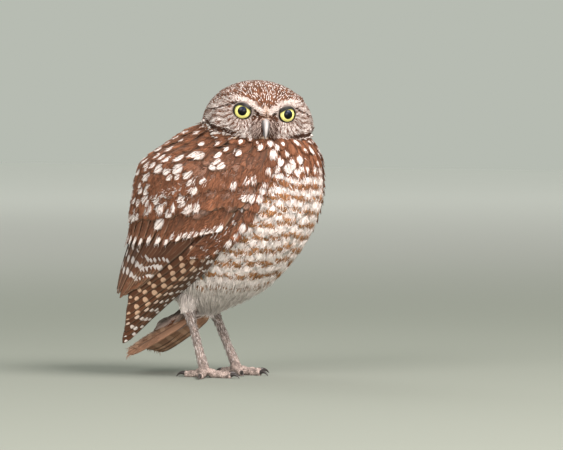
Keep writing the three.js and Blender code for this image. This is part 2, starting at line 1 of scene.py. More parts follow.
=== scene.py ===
import bpy
import numpy as np
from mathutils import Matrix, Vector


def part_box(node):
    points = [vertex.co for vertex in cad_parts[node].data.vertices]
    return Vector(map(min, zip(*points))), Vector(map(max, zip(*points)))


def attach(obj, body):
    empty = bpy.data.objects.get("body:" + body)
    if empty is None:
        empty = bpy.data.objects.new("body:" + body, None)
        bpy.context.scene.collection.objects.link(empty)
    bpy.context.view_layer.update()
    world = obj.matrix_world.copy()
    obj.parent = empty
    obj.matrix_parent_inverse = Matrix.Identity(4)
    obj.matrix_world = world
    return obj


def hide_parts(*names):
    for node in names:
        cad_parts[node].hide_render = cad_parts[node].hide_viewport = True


bl_info = {
    "name": "Burrowing Owl",
    "version": (1, 0, 0),
    "blender": (4, 5, 0),
    "location": "View3D > Sidebar > Owl",
    "description": "A life-size burrowing owl: skin, coat of feathers, wings, tail, bill, eyes and feet",
    "category": "Add Mesh",
}

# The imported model, and the box that it fills before anything here is added.
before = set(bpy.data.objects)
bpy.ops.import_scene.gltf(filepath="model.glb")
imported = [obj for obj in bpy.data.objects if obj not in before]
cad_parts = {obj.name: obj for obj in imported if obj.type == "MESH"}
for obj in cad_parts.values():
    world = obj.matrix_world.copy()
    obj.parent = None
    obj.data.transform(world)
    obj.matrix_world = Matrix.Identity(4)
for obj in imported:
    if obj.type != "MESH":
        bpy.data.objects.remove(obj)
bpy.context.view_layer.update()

# Shapes are worked out in millimetres, in the bird's own stance: X is its left, -Y the way its body
# faces, and the middle between its feet is at X 0, Y 0 on the floor.
MM = 0.001
SEED = 20
TURN = 2 * np.pi
SIDES = {"right": -1.0, "left": 1.0}
X, Y, Z = np.eye(3)

# A piece stays below this many triangles.
MOST_TRIANGLES = 195000

# Level slices of the trunk and of the folded wings' outside: height, front, back, half width.
TRUNK_LEVELS = np.array([
    (185, -48, 2, 22), (178, -62, 21, 34), (170, -73, 34, 40), (160, -79, 48, 44.5),
    (146, -80.5, 55, 46), (127, -80, 57, 47), (103, -70, 55, 46), (81, -53, 50, 41),
    (66, -36, 43, 32), (56, -19, 36, 20), (49.5, -4, 26, 8),
], float)[::-1]
WING_LEVELS = np.array([
    (172, -73, 34, 39), (161, -79, 52, 47), (150, -80.5, 61, 52), (125, -80, 66, 55),
    (100, -70, 69, 55.5), (78, -45, 76, 52.5), (60, -10, 80, 46), (40, 25, 80, 38),
    (22, 53, 77, 31), (10, 66, 80, 26),
], float)[::-1]
SQUARENESS = 2.2
# The trunk's lowest and highest slice in use, and about how far its skin is from its middle.
TRUNK_LOW, TRUNK_HIGH, TRUNK_RADIUS = 50, 185, 50.0

# The head: its middle, its reach to the sides, front and top, and its turns in degrees.
HEAD_PLACE = np.array([-3.0, -36.0, 180.0])
HEAD_REACH = np.array([39.6, 33.5, 32.6])
HEAD_PITCH, HEAD_ROLL, HEAD_YAW = 2.0, 4.5, -46.0
EYE_SIDE, EYE_DEPTH, EYE_RISE, EYE_RADIUS, EYE_OUTWARD = 14.7, -22.0, 11.0, 7.6, 14.0
# The iris and the pupil, and the distance from the line of sight that counts as 1 in the eye's map.
IRIS_RADIUS, PUPIL_RADIUS, GAZE_REACH = 5.75, 3.4, 8.0
# Half sizes of the eye's opening: to the sides, up and down, and how much higher its outer end lies.
LID = {"wide": 5.9, "up": 3.75, "down": 5.3, "slant": 0.42, "thick": 0.55}
BILL = {"z": 4.5, "y": -30.5, "wide": 4.4, "tall": 5.2, "length": 17.0}
# Points in the middle of the face that its feathers lie away from.
CROWN_PARTING = np.array([0.0, -38.0, 4.0])
FACE_PARTING = np.array([0.0, -37.0, 5.0])

# The legs: ankle and foot of each, the shank's radius at shares of its length, and the toes' heading,
# length and radius.
ANKLES = {"right": np.array([-19.0, 15.0, 51.0]), "left": np.array([19.0, 21.0, 50.0])}
FEET = {"right": np.array([-19.0, 0.0, 6.5]), "left": np.array([19.0, -1.0, 6.5])}
SHANK_STOPS = [-0.12, 0.08, 0.3, 0.65, 0.9, 1.0]
SHANK_RADII = [3.4, 3.8, 2.8, 2.6, 3.4, 3.5]
TOES = {
    "middle": (-4.0, 23.0, 2.9),
    "inner": (-42.0, 18.0, 2.8),
    "outer": (62.0, 20.0, 2.7),
    "hind": (168.0, 15.0, 2.8),
}
TOE_HEIGHT = 2.0

# The tail's root and tip, on the middle line, and how much lower each feather lies than the one before.
TAIL_ROOT = np.array([0.0, 20.0, 50.0])
TAIL_TIP = np.array([0.0, 76.0, 19.0])
TAIL_DROP = 1.2

# Outlines of vanes, as half widths at shares of their length: rounded body feathers, the head's small
# ones, down, bristles, and the long ones of wing and tail.
ROUND_STOPS = np.array([0.0, 0.22, 0.5, 0.74, 0.89, 0.97, 1.0])
ROUND_WIDTHS = np.array([0.3, 0.78, 1.0, 0.98, 0.76, 0.42, 0.12])
SMALL_STOPS = np.array([0.0, 0.4, 0.75, 1.0])
SMALL_WIDTHS = np.array([0.45, 1.0, 0.8, 0.15])
DOWN_STOPS = np.array([0.0, 0.35, 0.7, 1.0])
DOWN_WIDTHS = np.array([0.6, 1.0, 0.7, 0.15])
BRISTLE_WIDTHS = np.array([1.0, 0.9, 0.6, 0.15])
FLIGHT_STOPS = np.array([0.0, 0.12, 0.28, 0.44, 0.6, 0.74, 0.86, 0.94, 0.985, 1.0])
FLIGHT_WIDTHS = np.array([0.5, 0.8, 0.96, 1.0, 1.0, 0.97, 0.88, 0.68, 0.36, 0.12])


def smooth(low, high, value):
    """0 below low, 1 above high, and between them 3t^2 - 2t^3 of the share t of the way."""
    t = np.clip((value - low) / (high - low), 0.0, 1.0)
    return t * t * (3.0 - 2.0 * t)


def mix(a, b, share):
    return a + (b - a) * share


def bell(distance, reach):
    """1 at distance 0, falling by e to the minus square of distance over reach."""
    return np.exp(-((distance / reach) ** 2))


def unit(vectors):
    return vectors / np.maximum(np.linalg.norm(vectors, axis=-1, keepdims=True), 1e-9)


def stack(*values):
    """The values side by side along a new last axis, each spread out to their common shape."""
    return np.stack(np.broadcast_arrays(*values), axis=-1)


def turns(count):
    """Angles evenly round a full turn."""
    return np.linspace(0, TURN, count, endpoint=False)


def slice_at(levels, z):
    """Front, back and half width at each height: the Hermite cubic between the two levels round it,
    whose slopes are the chords of each level's neighbours."""
    heights = levels[:, 0]
    count = len(heights)
    k = np.arange(count)
    after, before = np.minimum(k + 1, count - 1), np.maximum(k - 1, 0)
    slopes = (levels[after] - levels[before]) / (heights[after] - heights[before])[:, None]
    i = np.clip(np.searchsorted(heights, z, side="right") - 1, 0, count - 2)
    run = (heights[i + 1] - heights[i])[..., None]
    t = (z - heights[i])[..., None] / run
    value = (2 * t**3 - 3 * t**2 + 1) * levels[i] + (t**3 - 2 * t**2 + t) * run * slopes[i]
    value += (3 * t**2 - 2 * t**3) * levels[i + 1] + (t**3 - t**2) * run * slopes[i + 1]
    return value[..., 1], value[..., 2], value[..., 3]


def outline(levels, z, angle):
    """Points on the slice at height z: a superellipse from front over the side to the back, where x is
    half times a power of the sine and y the middle less depth times a power of the cosine."""
    z, angle = np.broadcast_arrays(np.asarray(z, float), np.asarray(angle, float))
    front, back, half = slice_at(levels, z)

    def bend(value):
        return np.sign(value) * np.abs(value) ** (2 / SQUARENESS)

    return stack(
        half * bend(np.sin(angle)), (front + back) / 2 - (back - front) / 2 * bend(np.cos(angle)), z
    )


def normals_of(surface, p, q, dp, dq):
    """Unit normals of surface(p, q), from the cross product of its two central differences."""
    along_p = surface(p + dp, q) - surface(p - dp, q)
    along_q = surface(p, q + dq) - surface(p, q - dq)
    return unit(np.cross(along_q, along_p))


def trunk(z, angle):
    return outline(TRUNK_LEVELS, z, angle)


def wing_outside(z, angle):
    return outline(WING_LEVELS, z, angle)


def shoulders(z, angle):
    """The trunk, eased out onto the folded wings below the shoulder and behind the wings' front edge."""
    share = smooth(0.62, 0.85, np.abs(angle)) * smooth(176.0, 150.0, z)
    return mix(trunk(z, angle), wing_outside(z, angle), share[..., None])


def lifted(surface, z, angle, lift):
    """Points of a body surface moved out along its normal by lift, and the normals."""
    normal = normals_of(surface, z, angle, dp=0.6, dq=0.012)
    return surface(z, angle) + normal * np.asarray(lift)[..., None], normal


def head_turn():
    """The head's rotation: pitch about X, then roll about Y, then yaw about Z."""
    (cp, cr, cy), (sp, sr, sy) = (f(np.radians([HEAD_PITCH, HEAD_ROLL, HEAD_YAW])) for f in (np.cos, np.sin))
    about_x = np.array([[1, 0, 0], [0, cp, -sp], [0, sp, cp]])
    about_y = np.array([[cr, 0, sr], [0, 1, 0], [-sr, 0, cr]])
    about_z = np.array([[cy, -sy, 0], [sy, cy, 0], [0, 0, 1]])
    return about_z @ about_y @ about_x


HEAD_MATRIX = head_turn()


def to_body(points):
    """Points of the head's own frame, in the stance frame."""
    return points @ HEAD_MATRIX.T + HEAD_PLACE


def face_relief(x, z):
    """How far the face stands out from the egg, each form a bell of its distance: discs round the eyes
    2.6 deep, brows over them 2.6 high, a ridge of 3 above the bill, the ruff's rim of 1.4, weaker on top,
    and the crease of 1.8 below it."""
    side = np.abs(x)
    from_eye = np.hypot(side - EYE_SIDE, z - EYE_RISE)
    along = np.clip((side - 3) / 23, 0, 1)
    from_brow = np.hypot(side - mix(3, 26, along), z - mix(11, 21, along))
    rim = np.hypot(x / 36, (z - 2) / 25)
    relief = -2.6 * bell(from_eye, 9) + 2.6 * bell(from_brow, 3.6)
    relief += 3.0 * bell(np.hypot(x, (z - 1) / 1.7), 5)
    relief += 1.4 * bell(rim - 0.93, 0.09) * np.where(z < 12, 1.0, 0.4)
    return relief - 1.8 * bell(rim - 1.12, 0.09) * (z < 0)


def head_skin(away, turn):
    """The head in its own frame: away is the angle from straight ahead, turn the angle round that line
    from the top. The reach is that of an ellipsoid, with the face's relief added over its front."""
    way = stack(np.sin(away) * np.sin(turn), -np.cos(away), np.sin(away) * np.cos(turn))
    reach = 1 / np.sqrt(np.sum((way / HEAD_REACH) ** 2, axis=-1))
    front = np.sqrt(np.maximum(0, -way[..., 1]))
    out = reach + front * face_relief(way[..., 0] * reach, way[..., 2] * reach)
    return way * out[..., None]


def outside_head(points, margin):
    """True where points of the stance frame lie outside the head's plain egg, scaled by margin."""
    return np.linalg.norm((points - HEAD_PLACE) @ HEAD_MATRIX / HEAD_REACH, axis=-1) > margin


def on_slice(points):
    """Where points lie on the trunk's slice at their height, from -1 to 1 across and front to back."""
    front, back, half = slice_at(TRUNK_LEVELS, np.clip(points[..., 2], TRUNK_LOW, TRUNK_HIGH))
    return points[..., 0] / half, (points[..., 1] - (front + back) / 2) / (back - front) * 2


def outside_trunk(points, margin):
    return (np.hypot(*on_slice(points)) > margin) | (points[..., 2] > TRUNK_HIGH - 1)


def stance_shift():
    """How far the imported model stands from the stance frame: the torso's front in both tells it."""
    z = np.linspace(100, 160, 400)
    front = trunk(z, np.zeros_like(z))[:, 1].min()
    return np.array([0.0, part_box("torso")[0][1] / MM - front, 0.0])


SHIFT = stance_shift()


def to_metres(points):
    return (np.asarray(points) + SHIFT) * MM


def grid_quads(rows, columns, closed):
    """Corner numbers of the quads of a grid of points, closed round its columns if asked."""
    i, j = np.meshgrid(np.arange(rows - 1), np.arange(columns if closed else columns - 1), indexing="ij")
    near, following = i * columns + j, i * columns + (j + 1) % columns
    return stack(near, following, following + columns, near + columns).reshape(-1, 4)


def tube_quads(rows, ring):
    """Quads of a tube of rings of an even number of points. Each end is closed by quads that run from
    its first point to the one opposite."""
    j = np.arange(ring // 2 - 1)
    end = stack(ring - 1 - j, j, j + 1, ring - 2 - j) % ring
    return np.concatenate([grid_quads(rows, ring, True), end[:, ::-1], end + (rows - 1) * ring])


def rings(centre, across, ahead, radius, count):
    """Rings round the points of a line: the radius times the sine of the turn goes out along across, and
    times its cosine along ahead. Returns rows, points of a ring, places."""
    spin = turns(count)[:, None]
    return centre[:, None] + (np.sin(spin) * across + np.cos(spin) * ahead) * radius[:, None, None]


def new_mesh(name, points, quads):
    """A mesh in metres from points in millimetres of the stance frame and quads as corner numbers."""
    mesh = bpy.data.meshes.new(name)
    points = to_metres(points.reshape(-1, 3))
    mesh.vertices.add(len(points))
    mesh.vertices.foreach_set("co", points.astype(np.float32).ravel())
    mesh.loops.add(quads.size)
    mesh.loops.foreach_set("vertex_index", quads.astype(np.int32).ravel())
    mesh.polygons.add(len(quads))
    mesh.polygons.foreach_set("loop_start", np.arange(0, quads.size, quads.shape[1], dtype=np.int32))
    mesh.update(calc_edges=True)
    mesh.validate()
    mesh.polygons.foreach_set("use_smooth", np.ones(len(mesh.polygons), bool))
    return mesh


def linked(name, data):
    """An object in the scene that shows a mesh, a lamp or a camera."""
    thing = bpy.data.objects.new(name, data)
    bpy.context.collection.objects.link(thing)
    return thing


def fused(name, parts, voxel, rounds):
    """One mesh from closed parts that overlap, by a voxel remesh and a few rounds of smoothing, and its
    places in metres."""
    starts = np.cumsum([0] + [len(points) for points, _ in parts[:-1]])
    quads = np.concatenate([quads + start for (_, quads), start in zip(parts, starts)])
    rough = linked("rough", new_mesh("rough", np.concatenate([points for points, _ in parts]), quads))
    remesh = rough.modifiers.new("remesh", "REMESH")
    remesh.mode = "VOXEL"
    remesh.voxel_size = voxel * MM
    rough.modifiers.new("ease", "SMOOTH").iterations = rounds
    shown = rough.evaluated_get(bpy.context.evaluated_depsgraph_get())
    mesh = bpy.data.meshes.new_from_object(shown)
    bpy.data.objects.remove(rough)
    mesh.name = name
    mesh.polygons.foreach_set("use_smooth", np.ones(len(mesh.polygons), bool))
    places = np.empty(len(mesh.vertices) * 3, np.float32)
    mesh.vertices.foreach_get("co", places)
    return mesh, places.reshape(-1, 3)


def new_piece(name, mesh, slot, material, replaced=()):
    """An object at the origin that rides on the body and takes the given material; its slot is not used."""
    piece = linked(name, mesh)
    mesh.materials.clear()
    mesh.materials.append(material)
    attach(piece, "root")
    if replaced:
        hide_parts(*replaced)


def set_map(mesh, name, places):
    """A UV map from one place for each point of the mesh."""
    corners = np.empty(len(mesh.loops), np.int32)
    mesh.loops.foreach_get("vertex_index", corners)
    layer = mesh.uv_layers.new(name=name, do_init=False)
    layer.uv.foreach_set("vector", places.reshape(-1, 2)[corners].astype(np.float32).ravel())


def set_vectors(mesh, name, values):
    """A point attribute of three numbers."""
    layer = mesh.attributes.new(name, "FLOAT_VECTOR", "POINT")
    layer.data.foreach_set("vector", values.astype(np.float32).ravel())


def set_colours(mesh, name, colours):
    """A point attribute of opaque colours."""
    colours = np.concatenate([colours, np.ones(colours.shape[:-1] + (1,))], axis=-1)
    layer = mesh.attributes.new(name, "FLOAT_COLOR", "POINT")
    layer.data.foreach_set("color", colours.astype(np.float32).ravel())


def coat_mesh(name, vanes, columns, camber=0.12, thick=0.35, patch=0.003, tilt=0.0):
    """Many closed vanes in one mesh. Ring r of a vane runs from its left edge over the top to the right
    edge and back below: across by x times the half width, up by tilt times x, down by camber times x
    squared, and up or down by half the thickness times 1 - x^2."""
    centres, normals, halves, own, bake = vanes
    count, rows = centres.shape[:2]
    top = np.linspace(-1, 1, columns)
    x = np.concatenate([top, top[::-1][1:-1]])
    face = np.concatenate([np.ones(columns), -np.ones(columns - 2)])
    tangent = unit(np.gradient(centres, axis=1))
    across = unit(np.cross(tangent, normals))
    up = np.cross(across, tangent)
    half = halves[..., None, None]
    rise = -camber * x[:, None] ** 2 * half + face[:, None] * thick / 2 * (1 - x[:, None] ** 2)
    rise = rise + tilt * x[:, None]
    points = centres[:, :, None] + across[:, :, None] * x[:, None] * half + up[:, :, None] * rise
    ring = len(x)
    shape = (count, rows, ring)
    quads = tube_quads(rows, ring)[None] + np.arange(count)[:, None, None] * rows * ring
    mesh = new_mesh(name, points, quads.reshape(-1, 4))
    steps = np.linalg.norm(np.diff(centres, axis=1), axis=-1)
    gone = np.concatenate([np.zeros((count, 1)), np.cumsum(steps, axis=1)], axis=1)
    gone = gone / np.maximum(gone[:, -1:], 1e-9)
    place = stack(np.broadcast_to((x + 1) / 2, shape), gone[:, :, None])
    set_map(mesh, "Vane", place)
    set_map(mesh, "OFBake", np.clip(bake[:, None, None] + patch * (place - 0.5), 0, 1))
    for key, values in own.items():
        add = set_colours if key in ("ground", "marks") else set_vectors
        add(mesh, key, np.broadcast_to(values[:, None, None], shape + (3,)).reshape(-1, 3))
    return mesh


def coat(name, slot, material, vanes, replaced=(), columns=3, **form):
    """Pieces that hold a set of vanes, as many as keep each below the most triangles. A set of vanes is
    the middle lines, their normals, the half widths, the looks, and the roots' places on the unwrap."""
    centres, normals, halves, own, bake = vanes
    normals = np.broadcast_to(normals, centres.shape)
    halves = np.broadcast_to(halves, centres.shape[:2])
    ring = 2 * columns - 2
    most = MOST_TRIANGLES // (2 * ((centres.shape[1] - 1) * ring + ring - 2))
    for number, first in enumerate(range(0, len(centres), most)):
        part = slice(first, first + most)
        given = {key: value[part] for key, value in own.items()}
        title = f"{name}_{number + 1}" if len(centres) > most else name
        some = (centres[part], normals[part], halves[part], given, bake[part])
        new_piece(title, coat_mesh(title, some, columns, **form), slot, material, replaced)


def along(field, stops, v):
    """Values of a per-ring field of each vane at places v along it, past the tip by its last slope."""
    i = np.clip(np.searchsorted(stops, v, side="right") - 1, 0, len(stops) - 2)
    t = (v - stops[i]) / (stops[i + 1] - stops[i])
    which = np.arange(len(field)).reshape((-1,) + (1,) * (v.ndim - 1))
    before, after = field[which, i], field[which, i + 1]
    return before + (after - before) * t.reshape(t.shape + (1,) * (before.ndim - t.ndim))


def barbs(random, vanes, stops, per, length, width, rise=0.3, first=0.15, camber=0.12, contrast=0.16):
    """Loose barbs on each vane. They start on it between the shaft and the edge and run forward and
    outward past its edge and its tip, in the colour that the vane's mark gives to their place."""
    centres, normals, halves, own, bake = vanes
    normals = np.broadcast_to(normals, centres.shape)
    count = len(centres)
    size = np.linalg.norm(np.diff(centres, axis=1), axis=-1).sum(axis=1)[:, None]
    reach = random.uniform(0.6, 1.2, (count, per)) * length
    start = 1 - (1 - first) * random.random((count, per)) ** 1.25 - 0.55 * reach / size
    side = random.uniform(-1, 1, (count, per))
    k = np.array([0.0, 0.5, 1.0])
    v = start[..., None] + (reach / size)[..., None] * k
    on = np.minimum(v, 1.0)
    across = unit(np.cross(unit(np.gradient(centres, axis=1)), normals))
    half = np.broadcast_to(halves, centres.shape[:2])
    widest = np.minimum(half.max(axis=1)[:, None, None], along(half, stops, np.minimum(v, 0.9)) + 0.4)
    u = side[..., None] * (0.5 + 0.62 * k)
    normal = along(normals, stops, on)
    path = along(centres, stops, v) + along(across, stops, on) * (u * widest)[..., None]
    over = rise + random.uniform(0.0, 0.5, (count, per))[..., None] * k - camber * u**2 * widest
    path = path + normal * over[..., None]
    at, phase, many = np.moveaxis(own["mark_at"], -1, 0)[..., None]
    wide, long_, strength = np.moveaxis(own["mark_size"], -1, 0)[..., None]
    begin, end, bend = np.moveaxis(own["span"], -1, 0)[..., None]
    u, v = u[..., 1], v[..., 1]
    x = (u - at) / wide
    y = ((v * many + phase) % 1.0 - 0.5 + bend * u**2) / long_
    mark = smooth(1.15, 0.85, np.hypot(x, y) + random.normal(0, 0.05, x.shape)) * strength
    mark = mark * (v > begin) * (v < end)
    colour = mix(own["ground"][:, None], own["marks"][:, None], mark[..., None])
    colour = colour * np.exp(random.normal(0, contrast, (count, per, 1)))
    flat = count * per
    plain = unmarked(colour.reshape(flat, 3), random)
    widths = width * random.uniform(0.7, 1.3, (flat, 1)) * np.array([0.7, 1.0, 0.2])
    return path.reshape(flat, 3, 3), normal.reshape(flat, 3, 3), widths, plain, np.repeat(bake, per, axis=0)


def rows_of(random, surface, heights, spacing, angles, loose):
    """Roots in staggered rows round a body surface. heights are those of the first row and the end, and
    the step down. Along each row the roots stand evenly by the length of its outline between two angles,
    on both sides, and each strays by the loose share of the spacing. Returns heights and signed angles."""
    first, end, step = heights
    table = np.linspace(*angles, 160)
    z_all, angle_all = [], []
    for number, z in enumerate(np.arange(first, end, -step)):
        line = surface(np.full_like(table, z), table)
        length = np.concatenate([[0], np.cumsum(np.linalg.norm(np.diff(line, axis=0), axis=1))])
        stand = (np.arange(int(length[-1] / spacing) + 1) + 0.5 * (number % 2)) * spacing
        stand = stand + random.normal(0, loose * spacing, len(stand))
        stand = stand[(stand > 0) & (stand < length[-1])]
        angle = np.interp(stand, length, table)
        for sign in SIDES.values():
            angle_all.append(sign * angle)
            z_all.append(z + random.normal(0, loose * spacing, len(angle)))
    return np.concatenate(z_all), np.concatenate(angle_all)


def body_paths(surface, z, angle, length, lean, stops, low, high):
    """Middle lines of vanes that lie on a body surface. Each goes down by length times the cosine of its
    lean and back round the body by the sine, while its height over the surface goes from low to high."""
    run = length[:, None] * stops
    heights = z[:, None] - run * np.cos(lean)[:, None]
    turned = np.abs(angle)[:, None] + run * np.sin(lean)[:, None] / TRUNK_RADIUS
    turned = np.sign(angle)[:, None] * np.minimum(turned, np.pi - 0.01)
    return lifted(surface, heights, turned, mix(low, high, stops) * np.ones_like(heights))


def looks(count, ground, marks, mark_at, mark_size, ways, span=(0.0, 1.1, 0.0)):
    """The colours of a set of vanes and where their marks lie. mark_at holds the place of the mark's
    middle across the vane (-1 to 1), its phase and how many there are along it; mark_size its half width,
    half length and strength; ways a random number, how dark the shaft is (below 0: only where it crosses
    a mark) and how pale the edge is, which also sets the painted shade at the rim and the covered root.
    span holds where along the vane marks begin and end and how far they bend back towards the edges."""
    full = {"ground": ground, "marks": marks, "mark_at": mark_at, "mark_size": mark_size}
    full.update(ways=ways, span=span)
    return {k: np.broadcast_to(np.asarray(v, float), (count, 3)).copy() for k, v in full.items()}


def unmarked(ground, random=None):
    """The looks of vanes without marks, each with a random number of its own if asked."""
    own = looks(len(ground), ground, ground, (0, 0, 1), (1, 1, 0), 0)
    if random is not None:
        own["ways"][:, 0] = random.random(len(ground))
    return own


def varied(random, count, colours, amount):
    """Rows of colour, each made a little lighter or darker as a whole."""
    return colours * np.exp(random.normal(0, amount, (count, 1)))


def unwrap(z, angle):
    """The trunk's unwrap: the angle round the body across, the height up."""
    return 0.02 + 0.96 * stack(angle / TURN + 0.5, (z - 40) / 150)


class Number:
    """The output of a node as a number. Arithmetic with it adds a math node to its tree."""

    def __init__(self, nodes, socket):
        self.nodes, self.socket = nodes, socket

    def __add__(self, other):
        return self.nodes.math("ADD", self, other)

    def __sub__(self, other):
        return self.nodes.math("SUBTRACT", self, other)

    def __rsub__(self, other):
        return self.nodes.math("SUBTRACT", other, self)

    def __mul__(self, other):
        return self.nodes.math("MULTIPLY", self, other)

    def __truediv__(self, other):
        return self.nodes.math("DIVIDE", self, other)

    def __gt__(self, other):
        return self.nodes.math("GREATER_THAN", self, other)

    def __lt__(self, other):
        return self.nodes.math("LESS_THAN", self, other)

    def __abs__(self):
        return self.nodes.math("ABSOLUTE", self)

    __radd__, __rmul__ = __add__, __mul__


class Nodes:
    """A material's node tree, with a short way to add and join nodes."""

    def __init__(self, name):
        self.material = bpy.data.materials.new(name)
        self.material.use_nodes = True
        self.tree = self.material.node_tree
        self.tree.nodes.clear()
        self.shader = self.add("ShaderNodeBsdfPrincipled")
        output = self.add("ShaderNodeOutputMaterial")
        self.tree.links.new(self.shader.outputs[0], output.inputs[0])

    def add(self, kind, **settings):
        node = self.tree.nodes.new(kind)
        for key, value in settings.items():
            setattr(node, key, value)
        return node

    def put(self, inputs, **values):
        """Joins or sets sockets by name, or by number after an underscore. A constant colour is opaque."""
        for name, value in values.items():
            socket = inputs[int(name[1:]) if name[0] == "_" else name]
            value = value.socket if isinstance(value, Number) else value
            if isinstance(value, bpy.types.NodeSocket):
                self.tree.links.new(value, socket)
            else:
                socket.default_value = (*value, 1.0) if socket.type == "RGBA" else value

    def math(self, operation, a, b=0.0, clamp=False):
        node = self.add("ShaderNodeMath", operation=operation, use_clamp=clamp)
        self.put(node.inputs, _0=a, _1=b)
        return Number(self, node.outputs[0])

    def hypot(self, x, y):
        return self.math("SQRT", x * x + y * y)

    def fall(self, value, low, high):
        """1 where value is below low, 0 above high, eased between."""
        node = self.add("ShaderNodeMapRange", interpolation_type="SMOOTHSTEP")
        self.put(node.inputs, _0=value, _1=low, _2=high, _3=1.0, _4=0.0)
        return Number(self, node.outputs[0])

    def parts(self, vector):
        node = self.add("ShaderNodeSeparateXYZ")
        self.put(node.inputs, _0=vector)
        return [Number(self, socket) for socket in node.outputs]

    def numbers(self, name):
        """The three numbers of a point attribute."""
        return self.parts(self.add("ShaderNodeAttribute", attribute_name=name).outputs["Vector"])

    def join(self, x, y, z):
        node = self.add("ShaderNodeCombineXYZ")
        self.put(node.inputs, _0=x, _1=y, _2=z)
        return node.outputs[0]

    def noise(self, vector, scale, detail=2.0, roughness=0.5):
        node = self.add("ShaderNodeTexNoise")
        self.put(node.inputs, Vector=vector, Scale=scale, Detail=detail, Roughness=roughness)
        return Number(self, node.outputs[0])

    def place(self):
        return self.add("ShaderNodeTexCoord").outputs["Object"]

    def colour(self, name):
        return self.add("ShaderNodeAttribute", attribute_name=name).outputs["Color"]

    def blend(self, share, a, b, way="MIX"):
        node = self.add("ShaderNodeMix", data_type="RGBA", blend_type=way)
        self.put(node.inputs, _0=share, _6=a, _7=b)
        return node.outputs[2]

    def lit(self, colour, light):
        """A colour times a number."""
        return self.blend(1.0, colour, self.join(light, light, light), "MULTIPLY")

    def bump(self, height, distance, strength=1.0):
        node = self.add("ShaderNodeBump")
        self.put(node.inputs, Strength=strength, Distance=distance, Height=height)
        self.put(self.shader.inputs, Normal=node.outputs[0])

    def finish(self, **values):
        names = {key: key.replace("_", " ").title().replace("Ior", "IOR") for key in values}
        self.put(self.shader.inputs, **{names[key]: value for key, value in values.items()})
        return self.material


# Plumage by name: how many barbs lie along a vane, how far their streaks differ, and the roughness.
PLUMAGE = {
    "mantle": (46.0, 0.85, 0.8), "breast": (60.0, 0.35, 0.9), "down": (20.0, 0.2, 0.95),
    "leg_down": (20.0, 0.2, 0.95), "crown": (16.0, 0.4, 0.85), "face": (16.0, 0.3, 0.9),
    "bristle": (4.0, 0.1, 0.6), "flight": (90.0, 0.7, 0.6), "covert": (55.0, 0.75, 0.7),
    "tail": (110.0, 0.45, 0.6), "tail_covert": (40.0, 0.3, 0.85), "leg_bristle": (6.0, 0.2, 0.8),
}
# Skins by name: roughness, scale of the mottling, depth of its bumps in metres, and how far it differs.
SKINS = {
    "skin": (0.9, 900.0, 0.0004, 0.5), "lid": (0.5, 900.0, 0.0001, 0.3),
    "wing_base": (0.9, 500.0, 0.0003, 0.4),
}


def feather_material(name):
    """Plumage. The mark is where an ellipse round its place, repeated along the vane, holds the point.
    Barbs are fine streaks that run out and forward from the shaft, lighter and darker in turn. A vane
    with a pale edge also gets painted shade at its very rim and towards its covered root, where vanes
    overlap."""
    barbs, streak, roughness = PLUMAGE[name]
    n = Nodes(name)
    u, v, _ = n.parts(n.add("ShaderNodeUVMap", uv_map="Vane").outputs[0])
    across = u * 2.0 - 1.0
    side = abs(across)
    at, phase, count = n.numbers("mark_at")
    wide, long_, strength = n.numbers("mark_size")
    chance, shaft, edge = n.numbers("ways")
    begin, end, bend = n.numbers("span")
    grain = n.noise(n.join(v * barbs - side * (barbs * 0.22), side * 1.2, chance * 97.0), 1.0)
    blotch = n.noise(n.join(u * 1.5, v, chance * 61.0), 3.0, 3.0)
    x = (across - at) / wide
    y = (n.math("FRACT", v * count + phase) - 0.5 + bend * (across * across)) / long_
    reach = n.hypot(x, y) + (grain - 0.5) * 0.35
    mark = n.fall(reach, 0.82, 1.12) * strength * ((v > begin) * (v < end))
    colour = n.blend(mark, n.colour("ground"), n.colour("marks"))
    shaft = n.math("MAXIMUM", shaft, 0.0) + n.math("MAXIMUM", 0.0 - shaft, 0.0) * mark
    colour = n.blend(n.fall(side, 0.04, 0.14) * shaft, colour, (0.09, 0.045, 0.025))
    colour = n.blend((1.0 - n.fall(side, 0.6, 0.88)) * edge, colour, (0.45, 0.29, 0.19))
    light = (grain * streak + (1.0 - streak / 2)) * (blotch * 0.36 + 0.82)
    # Painted shade: the vane's rim and its covered root are darkened, as strongly as its edge number says.
    rim, covered = (1.0 - n.fall(side, 0.86, 1.0)) * edge, n.fall(v, 0.35, 0.88) * edge
    light = light * (1.0 - rim) * (1.0 - covered)
    n.bump(grain, 0.00025, 0.6)
    return n.finish(
        base_color=n.lit(colour, light), roughness=roughness, sheen_weight=0.02, specular_ior_level=0.25
    )


def plain_material(name):
    """A skin in the colours of its points, mottled by noise over Object coordinates."""
    roughness, scale, bump, spread = SKINS[name]
    n = Nodes(name)
    grain = n.noise(n.place(), scale, 4.0, 0.6)
    colour = n.lit(n.colour("ground"), grain * spread + (1.0 - spread / 2))
    n.bump(grain, bump)
    return n.finish(base_color=colour, roughness=roughness, specular_ior_level=0.3)


